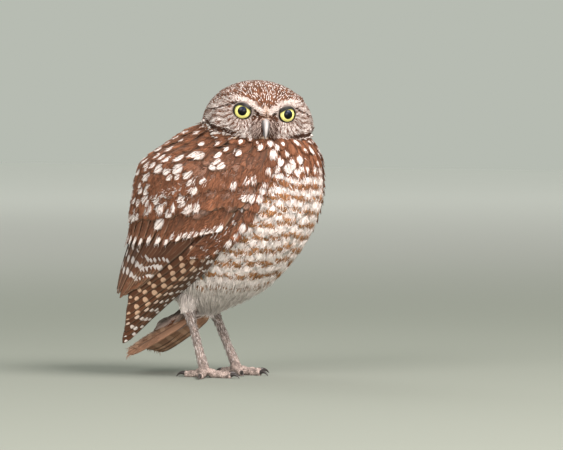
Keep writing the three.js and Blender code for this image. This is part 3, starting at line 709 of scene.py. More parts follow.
class OwlColours(bpy.types.PropertyGroup):
    """Colours of the plumage and the bare parts."""

    brown: bpy.props.FloatVectorProperty(
        name="Brown", description="Back and wing feathers", subtype="COLOR", default=(0.212, 0.085, 0.042)
    )
    deep: bpy.props.FloatVectorProperty(
        name="Deep brown", description="Flight feathers and the ruff", subtype="COLOR",
        default=(0.09, 0.033, 0.014),
    )
    white: bpy.props.FloatVectorProperty(
        name="White", description="Spots, brows and belly", subtype="COLOR", default=(0.88, 0.81, 0.77)
    )
    buff: bpy.props.FloatVectorProperty(
        name="Buff", description="Squares on the flight feathers", subtype="COLOR", default=(0.7, 0.46, 0.31)
    )
    ochre: bpy.props.FloatVectorProperty(
        name="Ochre", description="Bars across the breast", subtype="COLOR", default=(0.38, 0.19, 0.08)
    )
    grey: bpy.props.FloatVectorProperty(
        name="Grey", description="Face and legs", subtype="COLOR", default=(0.42, 0.34, 0.3)
    )
    iris: bpy.props.FloatVectorProperty(
        name="Iris", description="Ring of the eye", subtype="COLOR", default=(0.95, 0.93, 0.36)
    )
    bill: bpy.props.FloatVectorProperty(
        name="Bill", description="Ridge of the bill", subtype="COLOR", default=(0.36, 0.34, 0.33)
    )


class OwlSizes(bpy.types.PropertyGroup):
    """Sizes of the coat's feathers and the camera's place."""

    mantle_length: bpy.props.FloatProperty(
        name="Mantle", description="Length of a back feather", subtype="DISTANCE", default=0.015
    )
    mantle_width: bpy.props.FloatProperty(
        name="Mantle width", description="Width of a back feather", subtype="DISTANCE", default=0.0105
    )
    breast_length: bpy.props.FloatProperty(
        name="Breast", description="Length of a breast feather", subtype="DISTANCE", default=0.019
    )
    breast_width: bpy.props.FloatProperty(
        name="Breast width", description="Width of a breast feather", subtype="DISTANCE", default=0.014
    )
    crown_length: bpy.props.FloatProperty(
        name="Crown", description="Length of a crown feather", subtype="DISTANCE", default=0.006
    )
    camera_away: bpy.props.FloatProperty(
        name="Camera", description="Distance of the camera", subtype="DISTANCE", default=3.0
    )
    camera_rise: bpy.props.FloatProperty(
        name="Rise", description="The camera's angle above the horizon", subtype="ANGLE", default=0.0349
    )


class Maker:
    """What the operators share: their options, the sizes, a random generator with its own seed, and each
    colour of the plumage under its name."""

    bl_options = {"REGISTER", "UNDO"}

    def execute(self, context):
        self.sizes = context.scene.owl_sizes
        self.random = np.random.default_rng(SEED + len(self.bl_idname))
        for name in OwlColours.__annotations__:
            setattr(self, name, np.array(getattr(context.scene.owl_colours, name)))
        self.make()
        return {"FINISHED"}

    def size(self, name):
        return getattr(self.sizes, name) / MM


def look_along(direction):
    """Euler angles of a lamp or camera that looks along a direction with its top up."""
    x, y, z = direction / np.linalg.norm(direction)
    return (np.arccos(-z), 0.0, np.arctan2(-x, y))


class OWL_OT_stage(Maker, bpy.types.Operator):
    """Floor, soft lights, sky and the camera at the photograph's place"""

    bl_idname = "owl.stage"
    bl_label = "Stage"

    # The camera's turn in degrees from the bird's front to its right, the millimetres to a pixel, and in
    # pixels the picture's width and how far its middle lies beside and above the feet.
    turn, pixel = 55.0, 0.72
    picture_wide, middle_side, middle_rise = 563, 62, 151

    def make(self):
        self.make_floor()
        self.make_lights()
        self.make_camera()
        settings = bpy.context.scene.view_settings
        settings.view_transform, settings.look = "Standard", "None"

    def make_floor(self):
        """A level floor, grey-green round the bird and pale far away, where it meets the sky."""
        reach = 6000.0
        corners = np.array([(-reach, -reach, 0), (reach, -reach, 0), (reach, reach, 0), (-reach, reach, 0)])
        mesh = new_mesh("floor", corners - SHIFT, np.array([[0, 1, 2, 3]]))
        n = Nodes("floor")
        x, y, _ = n.parts(n.place())
        colour = n.blend(n.fall(n.hypot(x, y), 0.6, 4.8), (0.97, 0.97, 0.96), (0.21, 0.23, 0.2))
        mesh.materials.append(n.finish(base_color=colour, roughness=0.9, specular_ior_level=0.1))
        linked("floor", mesh)

    def make_lights(self):
        world = bpy.data.worlds.new("studio")
        bpy.context.scene.world = world
        world.use_nodes = True
        background = world.node_tree.nodes["Background"]
        background.inputs[0].default_value = (0.515, 0.545, 0.485, 1.0)
        background.inputs[1].default_value = 0.92
        for name, place, size, power, colour in (
            ("key", (-0.2, -1.6, 1.8), 1.4, 90.0, (1.0, 0.91, 0.89)),
            ("fill", (-1.8, -0.1, 1.1), 1.4, 32.0, (1.0, 0.91, 0.9)),
            ("back", (0.7, 1.6, 1.6), 1.2, 12.0, (1.0, 0.97, 0.95)),
            ("low", (-1.2, -1.5, 0.3), 1.0, 19.0, (1.0, 0.9, 0.88)),
        ):
            lamp = bpy.data.lights.new(name, "AREA")
            lamp.shape, lamp.size, lamp.energy, lamp.color = "DISK", size, power, colour
            light = linked(name, lamp)
            light.location = place
            light.rotation_euler = look_along(np.array([0.0, 0.0, 0.11]) - np.array(place))

    def make_camera(self):
        away, rise, turn = self.size("camera_away"), self.sizes.camera_rise, np.radians(self.turn)
        back = np.array([-np.sin(turn) * np.cos(rise), -np.cos(turn) * np.cos(rise), np.sin(rise)])
        side = np.array([np.cos(turn), -np.sin(turn), 0.0])
        target = (side * self.middle_side + Z * self.middle_rise) * self.pixel
        data = bpy.data.cameras.new("camera")
        data.sensor_width = 36.0
        data.lens = data.sensor_width * away / (self.picture_wide * self.pixel)
        data.clip_end = 100.0
        camera = linked("camera", data)
        camera.location = to_metres(target + back * away)
        camera.rotation_euler = look_along(-back)
        bpy.context.scene.camera = camera


class OWL_OT_skin(Maker, bpy.types.Operator):
    """One skin over trunk, neck, head and thighs, a little inside the coat"""

    bl_idname = "owl.skin"
    bl_label = "Skin"

    depth = 2.6

    def make(self):
        parts = [self.trunk_part(), self.head_part()] + [self.thigh_part(side) for side in SIDES]
        mesh, places = fused("skin", parts, voxel=1.5, rounds=4)
        places = places / MM - SHIFT
        set_colours(mesh, "ground", self.colours_at(places))
        x, y = on_slice(places)
        set_map(mesh, "OFBake", unwrap(places[:, 2] * 0.8 + 10, np.arctan2(x, -y)))
        covered = ("torso", "neck", "head", "thigh_right", "thigh_left")
        new_piece("skin", mesh, "breast", plain_material("skin"), covered)

    def trunk_part(self):
        """The trunk's surface, sunk by the skin's depth along its normals."""
        rows, ring = 60, 72
        z = np.linspace(TRUNK_HIGH - 1, TRUNK_LOW, rows)
        angle = np.linspace(-np.pi, np.pi, ring, endpoint=False)
        z, angle = np.meshgrid(z, angle, indexing="ij")
        points, _ = lifted(trunk, z, angle, np.full_like(z, -self.depth))
        return points.reshape(-1, 3), tube_quads(rows, ring)[:, ::-1]

    def head_part(self):
        """The head's skin, sunk by 1 at the front and 1.8 behind the face."""
        rows, ring = 48, 72
        away, turn = np.meshgrid(np.linspace(0.05, np.pi - 0.05, rows), turns(ring), indexing="ij")
        points = head_skin(away, turn)
        sink = mix(1.0, 1.8, smooth(0.9, 1.7, away))
        points = points * (1 - sink / np.linalg.norm(points, axis=-1))[..., None]
        return to_body(points).reshape(-1, 3), tube_quads(rows, ring)

    def thigh_part(self, side):
        """Level rings from inside the belly to the ankle, widest below the hip."""
        rows, ring = 12, 16
        share = np.linspace(0, 1, rows)
        centre = mix(ANKLES[side] + (0, -5, 26), ANKLES[side] + (0, 0.4, 2.5), share[:, None])
        radius = np.interp(share, [0, 0.3, 0.75, 1], [8, 10.5, 5.0, 3.4])
        return rings(centre, X, Y, radius, ring).reshape(-1, 3), tube_quads(rows, ring)[:, ::-1]

    def colours_at(self, places):
        """Brown over the head, back and upper breast, easing to white down the breast and belly."""
        z = places[:, 2]
        white = smooth(-0.16, -0.4, on_slice(places)[1]) * smooth(160, 130, z)
        white = np.maximum(white, smooth(86, 70, z))
        colours = mix(self.brown, self.white * 0.8, white[:, None])
        local = (places - HEAD_PLACE) @ HEAD_MATRIX
        face = smooth(-10, -16, local[:, 1]) * smooth(-8, -3, local[:, 2]) * smooth(20, 16, local[:, 2])
        return mix(colours, self.grey * 0.6, face[:, None])


class OWL_OT_body_coat(Maker, bpy.types.Operator):
    """Feathers of the back and shoulders, the breast and the belly"""

    bl_idname = "owl.body_coat"
    bl_label = "Body feathers"

    def make(self):
        self.make_neck_and_breast()
        self.make_mantle()
        self.make_down()
        self.make_thigh_down()

    def make_mantle(self):
        """Back and shoulders: brown feathers, a third of them with a white spot near the tip, fewer above
        the wing's front edge, and smaller ones on the neck. They end where the wing's coverts begin."""
        random = self.random
        z, angle = rows_of(random, shoulders, (190, 121, 4.6), 6.8, (0.5, np.pi), loose=0.16)
        turned = np.abs(angle)
        low = mix(131.0, 121.0, smooth(1.1, 1.7, turned))
        keep = (z > low) & ((turned > 0.74) | (z > 160)) & outside_head(shoulders(z - 8, angle), 0.97)
        z, angle, turned = z[keep], angle[keep], turned[keep]
        count = len(z)
        grown = smooth(188, 158, z)
        length = mix(10.0, self.size("mantle_length"), grown) * random.uniform(0.85, 1.15, count)
        half = mix(3.0, self.size("mantle_width") / 2, grown) * random.uniform(0.85, 1.1, count)
        lean = np.radians(40) * np.sin(turned) * smooth(0.4, 1.0, turned) + random.normal(0, 0.14, count)
        plain = smooth(1.5, 1.15, turned) * smooth(168, 160, z)
        strength = (random.random(count) < mix(0.36, 0.12, plain)) * 1.0
        high = (0.3 + 0.5 * strength)[:, None]
        centres, normals = body_paths(shoulders, z, angle, length, lean, ROUND_STOPS, -1.2, high)
        tone = random.random((count, 1))
        brown = varied(random, count, self.brown * mix(0.75, 1.25, tone), 0.12)
        brown = mix(brown, self.grey * 0.9, 0.35 * plain[:, None])
        across = random.uniform(-0.45, 0.45, count)
        size = random.uniform(0.55, 1.1, count) * mix(0.7, 1.0, grown) * mix(1.0, 1.25, smooth(160, 140, z))
        # The edge number of ways gives a pale fringe and also sets the painted shade at the rim and covered
        # root.
        own = looks(
            count, brown, self.white * 0.85,
            mark_at=stack(across * (1.2 - size).clip(0, 1), 0.11 * size - 0.4, 1.0),
            mark_size=stack(0.68 * size, 0.23 * size, strength),
            ways=stack(random.random(count), 0.7, 0.5),
        )
        vanes = (centres, normals, half[:, None] * ROUND_WIDTHS, own, unwrap(z, angle))
        material = feather_material("mantle")
        coat("coat_mantle", "wing", material, vanes, camber=0.14)
        loose = barbs(random, vanes, ROUND_STOPS, per=16, length=2.8, width=0.22)
        coat("barbs_mantle", "wing", material, loose, thick=0.2)

    def make_neck_and_breast(self):
        """Brown feathers with large white spots above, then white ones crossed by ochre bars that line up
        into arcs, whose rows stand one bar apart."""
        random = self.random
        material = feather_material("breast")
        upper = rows_of(random, trunk, (189, 160, 5.4), 7.8, (0.0, 1.25), loose=0.12)
        lower = rows_of(random, trunk, (160, 76, 4.6), 9.0, (0.0, 1.3), loose=0.06)
        for name, (z, angle), barred in (("neck", upper, False), ("breast", lower, True)):
            keep = outside_head(trunk(z - 9, angle), 0.98)
            z, angle = z[keep], angle[keep]
            count = len(z)
            grown = smooth(190, 160, z)
            length = self.size("breast_length") if barred else mix(10.0, 17.0, grown)
            length = length * random.uniform(0.94, 1.06, count)
            half = self.size("breast_width") / 2 if barred else mix(3.4, 5.6, grown)
            half = half * random.uniform(0.92, 1.1, count)
            lean = 0.14 * smooth(0.0, 0.8, np.abs(angle)) + random.normal(0, 0.06, count)
            centres, normals = body_paths(trunk, z, angle, length, lean, ROUND_STOPS, -1.4, 0.2)
            white = varied(random, count, self.white, 0.05)
            own = self.bars(z, angle, length, white) if barred else self.spots(white, grown)
            vanes = (centres, normals, half[:, None] * ROUND_WIDTHS, own, unwrap(z, angle))
            coat(f"coat_{name}", "breast", material, vanes, camber=0.09)
            form = {"per": 40 if barred else 24, "length": 5.0, "width": 0.22, "camber": 0.09}
            loose = barbs(random, vanes, ROUND_STOPS, contrast=0.1, **form)
            coat(f"barbs_{name}", "breast", material, loose, thick=0.2)

    def bars(self, z, angle, length, white):
        """Bars whose phase follows the root's height, so that they join from feather to feather, with a
        wave round the body. They are narrower down the breast and end above the belly, and the shaft is
        dark where it crosses one."""
        random, count, period, tip = self.random, len(z), 9.2, z - length
        brown = mix(self.ochre, self.brown, smooth(120, 150, tip)[:, None])
        brown = varied(random, count, brown, 0.12)
        wave = 1.2 * np.sin(5.0 * angle + 0.05 * z) + 0.9 * np.sin(11.0 * angle + 0.11 * z)
        phase = 0.5 - (z + wave + random.normal(0, 0.7, count)) / period
        across, bend = random.normal(0, 0.08, count), random.uniform(0.1, 0.26, count)
        wide = random.uniform(0.95, 1.25, count)
        long_ = mix(0.3, 0.2, smooth(146, 112, tip)) * random.uniform(0.8, 1.2, count)
        return looks(
            count, white, brown,
            mark_at=stack(across, phase, length / period),
            mark_size=stack(wide, long_, smooth(50, 60, tip)),
            ways=stack(random.random(count), -0.7, 0.0),
            span=stack(0.0, 1.1, bend),
        )

    def spots(self, white, grown):
        """One white spot near the tip of most feathers, larger further down."""
        random, count = self.random, len(white)
        brown = varied(random, count, self.brown * 0.95, 0.14)
        spot = random.uniform(0.5, 1.25, count) * mix(0.75, 1.1, grown)
        return looks(
            count, brown, white,
            mark_at=stack(random.normal(0, 0.12, count), -0.3, 1.0),
            mark_size=stack(0.52 * spot, 0.18 * spot, random.random(count) < 0.88),
            ways=stack(random.random(count), 0.3, 0.0),
        )

    def downy(self, count):
        return unmarked(varied(self.random, count, self.white, 0.1), self.random)

    def make_down(self):
        """Loose white down below the breast and round the thighs."""
        random = self.random
        z, angle = rows_of(random, trunk, (75, 49, 1.3), 1.7, (0.0, np.pi), loose=0.4)
        count = len(z)
        length = random.uniform(6, 12, count)
        lean = random.normal(0, 0.22, count)
        lift = random.uniform(0.3, 2.4, count)[:, None]
        centres, normals = body_paths(trunk, z, angle, length, lean, DOWN_STOPS, -2.0, 0.0)
        centres = centres + normals * (lift * DOWN_STOPS**1.5)[..., None]
        widths = random.uniform(0.35, 0.75, count)[:, None] * DOWN_WIDTHS
        vanes = (centres, normals, widths, self.downy(count), unwrap(z, angle))
        coat("coat_down", "breast", feather_material("down"), vanes, thick=0.25)

    def make_thigh_down(self):
        """Down that hangs over the top of each leg, shorter towards the ankle."""
        random = self.random
        for name, ankle in ANKLES.items():
            count = 900
            share = random.random(count)
            spin = random.uniform(0, TURN, count)
            radius = np.interp(share, [0, 0.35, 1], [7.5, 5.5, 3.6])
            out = stack(np.sin(spin), np.cos(spin), 0.0)
            root = ankle + out * radius[:, None] + share[:, None] * (0, 1.5, -12) + (0, -2, 10)
            lie = unit(0.1 * Y - Z + out * random.uniform(0.0, 0.3, (count, 1)))
            length = random.uniform(4, 8, count) * mix(1.0, 0.6, share)
            centres = root[:, None] + lie[:, None] * length[:, None, None] * DOWN_STOPS[:, None]
            widths = random.uniform(0.3, 0.55, count)[:, None] * DOWN_WIDTHS
            vanes = (centres, out[:, None], widths, self.downy(count), stack(spin / TURN, 0.1 + 0.8 * share))
            coat(f"thigh_down_{name}", "breast", feather_material("leg_down"), vanes, thick=0.25)


class OWL_OT_head_coat(Maker, bpy.types.Operator):
    """Small feathers of the crown and the face, brows, ruff and bristles"""

    bl_idname = "owl.head_coat"
    bl_label = "Head feathers"

    # The face's lines in the head's frame, as heights at distances from the middle: the dark line over the
    # eye, which is the lid's painted shadow, the middle of the brow above it, and the dark crescent that
    # closes the disc below.
    lid_shadow_line = ([0, 5, 9, 16, 22, 27, 32], [8, 9, 12, 15.2, 15, 13, 11])
    brow = ([0, 4, 8, 12, 18, 22, 28, 34], [10.5, 11.5, 13.5, 16.2, 18, 17.5, 15.5, 12])
    crescent = ([0, 7, 14, 21, 26, 30, 34, 38], [-4, -3.4, -3.2, -3.2, -2.8, -2.2, -1, 2])

    def roots(self, total):
        """Evenly spread directions over the head, by the golden angle, as away and turn. With them their
        places, and the heights of the face's lines there."""
        k = np.arange(total) + 0.5
        away = np.arccos(1 - 2 * k / total)
        turn = (k * np.pi * (3 - np.sqrt(5.0))) % TURN
        place = head_skin(away, turn)
        side = np.abs(place[:, 0])
        heights = [np.interp(side, *line) for line in (self.lid_shadow_line, self.brow, self.crescent)]
        return [away, turn, place, side, place[:, 1], place[:, 2], *heights]

    def make(self):
        self.make_crown()
        self.make_face()
        self.make_bristles()

    def lay(self, away, turn, place, lie, length, half, lift):
        """Vanes that start in the skin and follow the head's curve, of radius bend, along their lie."""
        bend = 34.0
        normal = normals_of(head_skin, away, turn, dp=0.02, dq=0.02)
        normal *= np.sign(np.sum(normal * place, axis=-1))[:, None]
        lie = unit(lie - normal * np.sum(lie * normal, axis=-1)[:, None])
        stops = SMALL_STOPS[:, None]
        run = length[:, None, None] * stops
        rise = lift * (stops * 1.5 - 0.8) - run**2 / (2 * bend)
        centres = place[:, None] + lie[:, None] * run + normal[:, None] * rise
        turned = unit(normal[:, None] + lie[:, None] * run / bend)
        bake = stack(turn / TURN, away / np.pi) * 0.96 + 0.02
        return to_body(centres), turned @ HEAD_MATRIX.T, half[:, None] * SMALL_WIDTHS, bake

    def make_crown(self):
        """Crown, nape and the collar below the face: brown, with a whitish dash on half the feathers."""
        random = self.random
        away, turn, place, side, y, z, _, brow, crescent = self.roots(13000)
        below = z < crescent - 1.5
        behind = y > -6 + 0.35 * (z - 8)
        keep = ((z > brow + 1.6) | below | behind) & (below & (random.random(len(z)) < 0.5) | ~below)
        keep &= outside_trunk(to_body(place), 0.93)
        away, turn, place, side, y, z, below, crescent = (
            value[keep] for value in (away, turn, place, side, y, z, below, crescent)
        )
        count = len(z)
        lie = unit(place - CROWN_PARTING) + random.normal(0, 0.1, (count, 3))
        collar = below & (y < 8)
        length = np.where(collar, 7.5, self.size("crown_length")) * random.uniform(0.8, 1.2, count)
        half = np.where(collar, 1.5, mix(0.95, 1.35, smooth(-26, 0, y))) * random.uniform(0.85, 1.15, count)
        centres, normals, halves, bake = self.lay(away, turn, place, lie, length, half, 0.6)
        tone = random.random((count, 1))
        ground = varied(random, count, self.brown * mix(0.36, 0.9, tone), 0.15)
        strength = random.random(count) < 0.5
        # The edge number of ways gives a pale fringe and also sets the painted shade at the rim and covered
        # root.
        own = looks(
            count, ground, self.white * 0.78,
            mark_at=stack(random.normal(0, 0.1, count), -0.25, 1.0),
            mark_size=stack(random.uniform(0.22, 0.4, count), 0.2, strength),
            ways=stack(random.random(count), 0.3, 0.1),
        )
        line = collar & (z > crescent - 3.4) & (side > 16) & (random.random(count) < 0.6)
        own["ground"][line] = self.white * mix(0.75, 1.05, random.random((line.sum(), 1)))
        chin = collar & (side < 17) & (z > -13)
        pale = random.random(count) < 0.5
        own["ground"][chin & pale] = self.white * np.array([0.85, 0.7, 0.55])
        own["ground"][chin & ~pale] = self.deep * 0.6
        own["mark_size"][chin | line, 2] = 0
        vanes = (centres, normals, halves, own, bake)
        coat("coat_crown", "head", feather_material("crown"), vanes, camber=0.1, thick=0.26)

    def make_face(self):
        """The discs round the eyes, the brows, the dark lines and the painted shadow of the lids, in fine
        narrow feathers.
        """
        random = self.random
        away, turn, place, side, y, z, over, brow, crescent = self.roots(66000)
        high = z - EYE_RISE
        from_eye = np.hypot(side - EYE_SIDE, high * np.where(high > 0, 1.4, 1.12))
        keep = (z < brow + 2.6) & (z > crescent - 2.4) & (y < -6 + 0.35 * (z - 8)) & (from_eye > 6.1)
        keep &= ~((side < 3.4) & (z < 3.5) & (z > -7))
        away, turn, place, side, z, over, brow, crescent, from_eye = (
            value[keep] for value in (away, turn, place, side, z, over, brow, crescent, from_eye)
        )
        count = len(z)
        radial = unit(place - stack(np.sign(place[:, 0]) * EYE_SIDE, EYE_DEPTH, EYE_RISE))
        near = smooth(17, 8, from_eye)[:, None]
        lie = unit(mix(unit(place - FACE_PARTING), radial, near)) + random.normal(0, 0.09, (count, 3))
        length = random.uniform(3.2, 5.0, count) * mix(0.5, 1.0, smooth(6.5, 12, from_eye))
        half = random.uniform(0.22, 0.4, count)
        about = np.arctan2(z - EYE_RISE, side - EYE_SIDE)
        ray = 0.5 + 0.5 * np.sin(24 * about + 1.5 * np.sin(0.6 * from_eye))
        pick, tone = 0.36 * ray + 0.64 * random.random(count), random.random((count, 1))
        white, brown, deep, grey = self.white, self.brown, self.deep, self.grey
        ground = grey * mix(0.6, 1.15, tone)
        # Where each paint goes, its colour, and the share of the feathers there that take it.
        outer = smooth(17, 26, side)
        for chosen, colour, often in (
            (pick < 0.34, brown * 0.6, 1.0),
            (pick > 0.72, white * 0.76, 0.85),
            ((z < 4) & (pick > 0.58), white * 0.82, 1.0),
            ((side < mix(5, 10, smooth(-2, 6, z))) & (z < 9) & (pick < 0.82), deep * 0.9, 1.0),
            ((np.abs(z - brow) < 1.8) & (side > 1.2), mix(grey, white, 0.42), mix(0.8, 0.3, outer)),
            ((side < 4.5) & (z > 6.5) & (z < 13), mix(grey, self.buff, 0.4), 0.7),
            # Painted shadow: the lid's shadow under the brow, as a dark line just over the eye.
            (np.abs(z - over + 0.4) < mix(1.0, 0.4, smooth(16, 26, side)) * (side > 6), deep * 0.35, 0.85),
            ((np.abs(z - crescent) < 1.5 * smooth(12, 22, side)), deep * 0.5, 0.95),
        ):
            chosen = chosen & (random.random(count) < often)
            ground[chosen] = colour * mix(0.8, 1.2, tone[chosen])
        ground = varied(random, count, ground, 0.1)
        centres, normals, halves, bake = self.lay(away, turn, place, lie, length, half, 0.45)
        vanes = (centres, normals, halves, unmarked(ground, random), bake)
        coat("coat_face", "head", feather_material("face"), vanes, camber=0.05, thick=0.24)

    def make_bristles(self):
        """Bristles from the lores that sweep forward, then out and down beside the bill."""
        random = self.random
        count = 520
        sign = np.where(random.random(count) < 0.5, -1.0, 1.0)
        out = random.uniform(1.8, 8.0, count)
        rise = random.uniform(-2.5, 8.0, count)
        away = np.arctan2(np.hypot(out, rise), 33.0)
        turn = np.arctan2(sign * out, rise)
        aim = stack(sign * random.uniform(0.05, 0.75, count), -0.42, -0.8)
        lie = unit(aim + random.normal(0, 0.12, (count, 3)))
        run = random.uniform(4.0, 8.0, count)[:, None, None] * DOWN_STOPS[:, None]
        centres = head_skin(away, turn)[:, None] + lie[:, None] * run
        centres = to_body(centres + np.array([0, 0.05, -0.012]) * run**2 * 0.7)
        normals = np.broadcast_to(np.array([0.0, -1.0, 0.3]) @ HEAD_MATRIX.T, centres.shape)
        pick = random.random((count, 1))
        dark = self.deep * mix(0.35, 1.1, pick / 0.55)
        own = unmarked(np.where(pick < 0.55, dark, self.grey * mix(0.7, 1.5, pick)))
        widths = np.full((count, 1), 0.17) * BRISTLE_WIDTHS
        vanes = (centres, normals, widths, own, stack(turn / TURN + 0.5, away / np.pi))
        coat("bristles", "head", feather_material("bristle"), vanes, thick=0.24)


class OWL_OT_eyes(Maker, bpy.types.Operator):
    """Eyes with iris and pupil on a bulging front, and their dark lids"""

    bl_idname = "owl.eyes"
    bl_label = "Eyes"

    def make(self):
        material = self.eye_material()
        lid = plain_material("lid")
        for name, sign in SIDES.items():
            self.make_ball(name, sign, material)
            self.make_lid(name, sign, lid)

    def turned(self, sign, points):
        angle = np.radians(sign * EYE_OUTWARD)
        turn = np.array([[np.cos(angle), -np.sin(angle), 0], [np.sin(angle), np.cos(angle), 0], [0, 0, 1]])
        return to_body(points @ turn.T + np.array([sign * EYE_SIDE, EYE_DEPTH, EYE_RISE]))

    def make_ball(self, name, sign, material):
        """A ball whose front bulges a little by a bell of the angle from the line of sight."""
        size = 64
        away, spin = np.linspace(0.02, np.pi - 0.02, size), turns(size)
        radius = EYE_RADIUS + 0.7 * bell(away, 0.55)
        flat = radius * np.sin(away)
        points = rings(stack(0.0, -radius * np.cos(away), 0.0), X, Z, flat, size)
        mesh = new_mesh(f"eyeball_{name}", self.turned(sign, points), tube_quads(size, size))
        share = (flat / GAZE_REACH + (away > np.pi / 2))[:, None]
        # The gaze's third number, how high a point lies round the line of sight, places the painted sky
        # reflection on the pupil.
        set_vectors(mesh, "gaze", stack(share, spin / TURN, np.cos(spin)))
        new_piece(f"eyeball_{name}", mesh, "eye", material, (f"eye_{name}",))

    def eye_material(self):
        """Pupil, iris and a dark rim by the distance from the line of sight, fine rays in the iris, and a
        painted blue sky reflection on the pupil's upper part.
        """
        n = Nodes("eye")
        share, around, rise = n.numbers("gaze")
        rays = n.noise(n.join(around * 60.0, share * 2.0, 0.0), 1.0)
        iris = n.blend(rays, self.iris * np.array([0.86, 0.8, 0.5]), self.iris)
        pupil = n.fall(share, (PUPIL_RADIUS - 0.25) / GAZE_REACH, (PUPIL_RADIUS + 0.1) / GAZE_REACH)
        # Painted reflection: dark blue sky over the upper part of the pupil, stronger towards its edge.
        sky = n.math("MULTIPLY", rise, 1.0, True) * (share * 2.0)
        colour = n.blend(pupil, iris, n.blend(sky, (0.001, 0.001, 0.002), (0.006, 0.02, 0.06)))
        rim = n.fall(share, (IRIS_RADIUS - 0.35) / GAZE_REACH, (IRIS_RADIUS + 0.2) / GAZE_REACH)
        colour = n.blend(rim, (0.02, 0.017, 0.015), colour)
        return n.finish(
            base_color=colour, roughness=0.3, specular_ior_level=0.15, coat_weight=0.15, coat_roughness=0.02
        )

    def make_lid(self, name, sign, material):
        """A lid that leaves the slanted opening free: from the opening's rim, over a ball a little larger
        than the eye, out to the skin, and back below."""
        ring, steps = 96, 9
        theta = turns(ring)[:, None]
        out, up = np.sin(theta), np.cos(theta)
        height = np.where(up > 0, LID["up"] * up * (1 + LID["slant"] * out), LID["down"] * up)
        ways = np.linspace(0, 1, steps)
        share = np.concatenate([ways, ways[::-1]])
        ball = np.repeat([EYE_RADIUS + 0.9, EYE_RADIUS + 0.15], steps)
        ball = ball + LID["thick"] * np.concatenate([bell(ways - 0.06, 0.12), np.zeros(steps)])
        flat = mix(stack(LID["wide"] * out, height), stack(7.5 * out, 7.0 * up), share[None, :, None])
        forward = np.sqrt(np.maximum(ball**2 - np.sum(flat**2, axis=-1), 1.0))
        points = stack(sign * flat[..., 0], -forward, flat[..., 1])
        quads = grid_quads(ring + 1, 2 * steps, True) % (ring * 2 * steps)
        if sign < 0:
            quads = quads[:, ::-1]
        mesh = new_mesh(f"lid_{name}", self.turned(sign, points), quads)
        dark, pale = np.array([0.006, 0.005, 0.004]), self.grey * 0.5
        shade = mix(dark, pale, smooth(0.5, 0.9, share)[:, None])
        set_colours(mesh, "ground", np.broadcast_to(shade, (ring, 2 * steps, 3)))
        new_piece(f"lid_{name}", mesh, "eye", material)


class OWL_OT_bill(Maker, bpy.types.Operator):
    """The hooked bill, in an upper and a lower half"""

    bl_idname = "owl.bill"
    bl_label = "Bill"

    def make(self):
        material = self.horn()
        for name, upper in (("bill_over", True), ("bill_under", False)):
            points = self.half(upper)
            mesh = new_mesh(name, to_body(points), tube_quads(*points.shape[:2])[:, ::-1])
            set_vectors(mesh, "horn", np.broadcast_to(self.ridge(points), points.shape))
            new_piece(name, mesh, "bill", material, ("bill_upper" if upper else "bill_lower",))

    def ridge(self, points):
        """1 on the ridge along the top of the bill, 0 down its sides."""
        side = np.abs(points[..., 0])
        return smooth(0.75, 0.2, side / (side.max(axis=1, keepdims=True) + 0.2))[..., None]

    def half(self, upper):
        """Rings along an arc that bends down, each keeled above and narrowing to the hook's point."""
        share, spin = np.linspace(0, 1, 26)[:, None], turns(28)
        bend = np.radians(105 if upper else 70)
        radius = BILL["length"] * (1.0 if upper else 0.62) / bend
        turn = share * bend
        y = BILL["y"] - radius * np.sin(turn)
        z = BILL["z"] - radius * (1 - np.cos(turn))
        if not upper:
            y, z = y + 1.2, z - BILL["tall"] * 0.98
        taper = (1 - share) ** 0.7 * 0.93 + 0.05
        wide, tall = BILL["wide"] * taper, (BILL["tall"] if upper else 2.4) * 0.62 * taper
        cos = np.cos(spin)
        keel = np.where(cos > 0, cos * 1.25, cos) * tall
        x = wide * np.sin(spin) * (1 - 0.25 * np.maximum(0, cos))
        return stack(x, y - np.sin(turn) * keel, z + np.cos(turn) * keel)

    def horn(self):
        """Pale on the ridge and dark down the sides, mottled by noise."""
        n = Nodes("horn")
        ridge, _, _ = n.numbers("horn")
        grain = n.noise(n.place(), 700.0, 3.0)
        colour = n.lit(n.blend(ridge, (0.07, 0.06, 0.062), self.bill), grain * 0.3 + 0.85)
        n.bump(grain, 0.0001, 0.4)
        return n.finish(base_color=colour, roughness=0.32, coat_weight=0.2, coat_roughness=0.15)


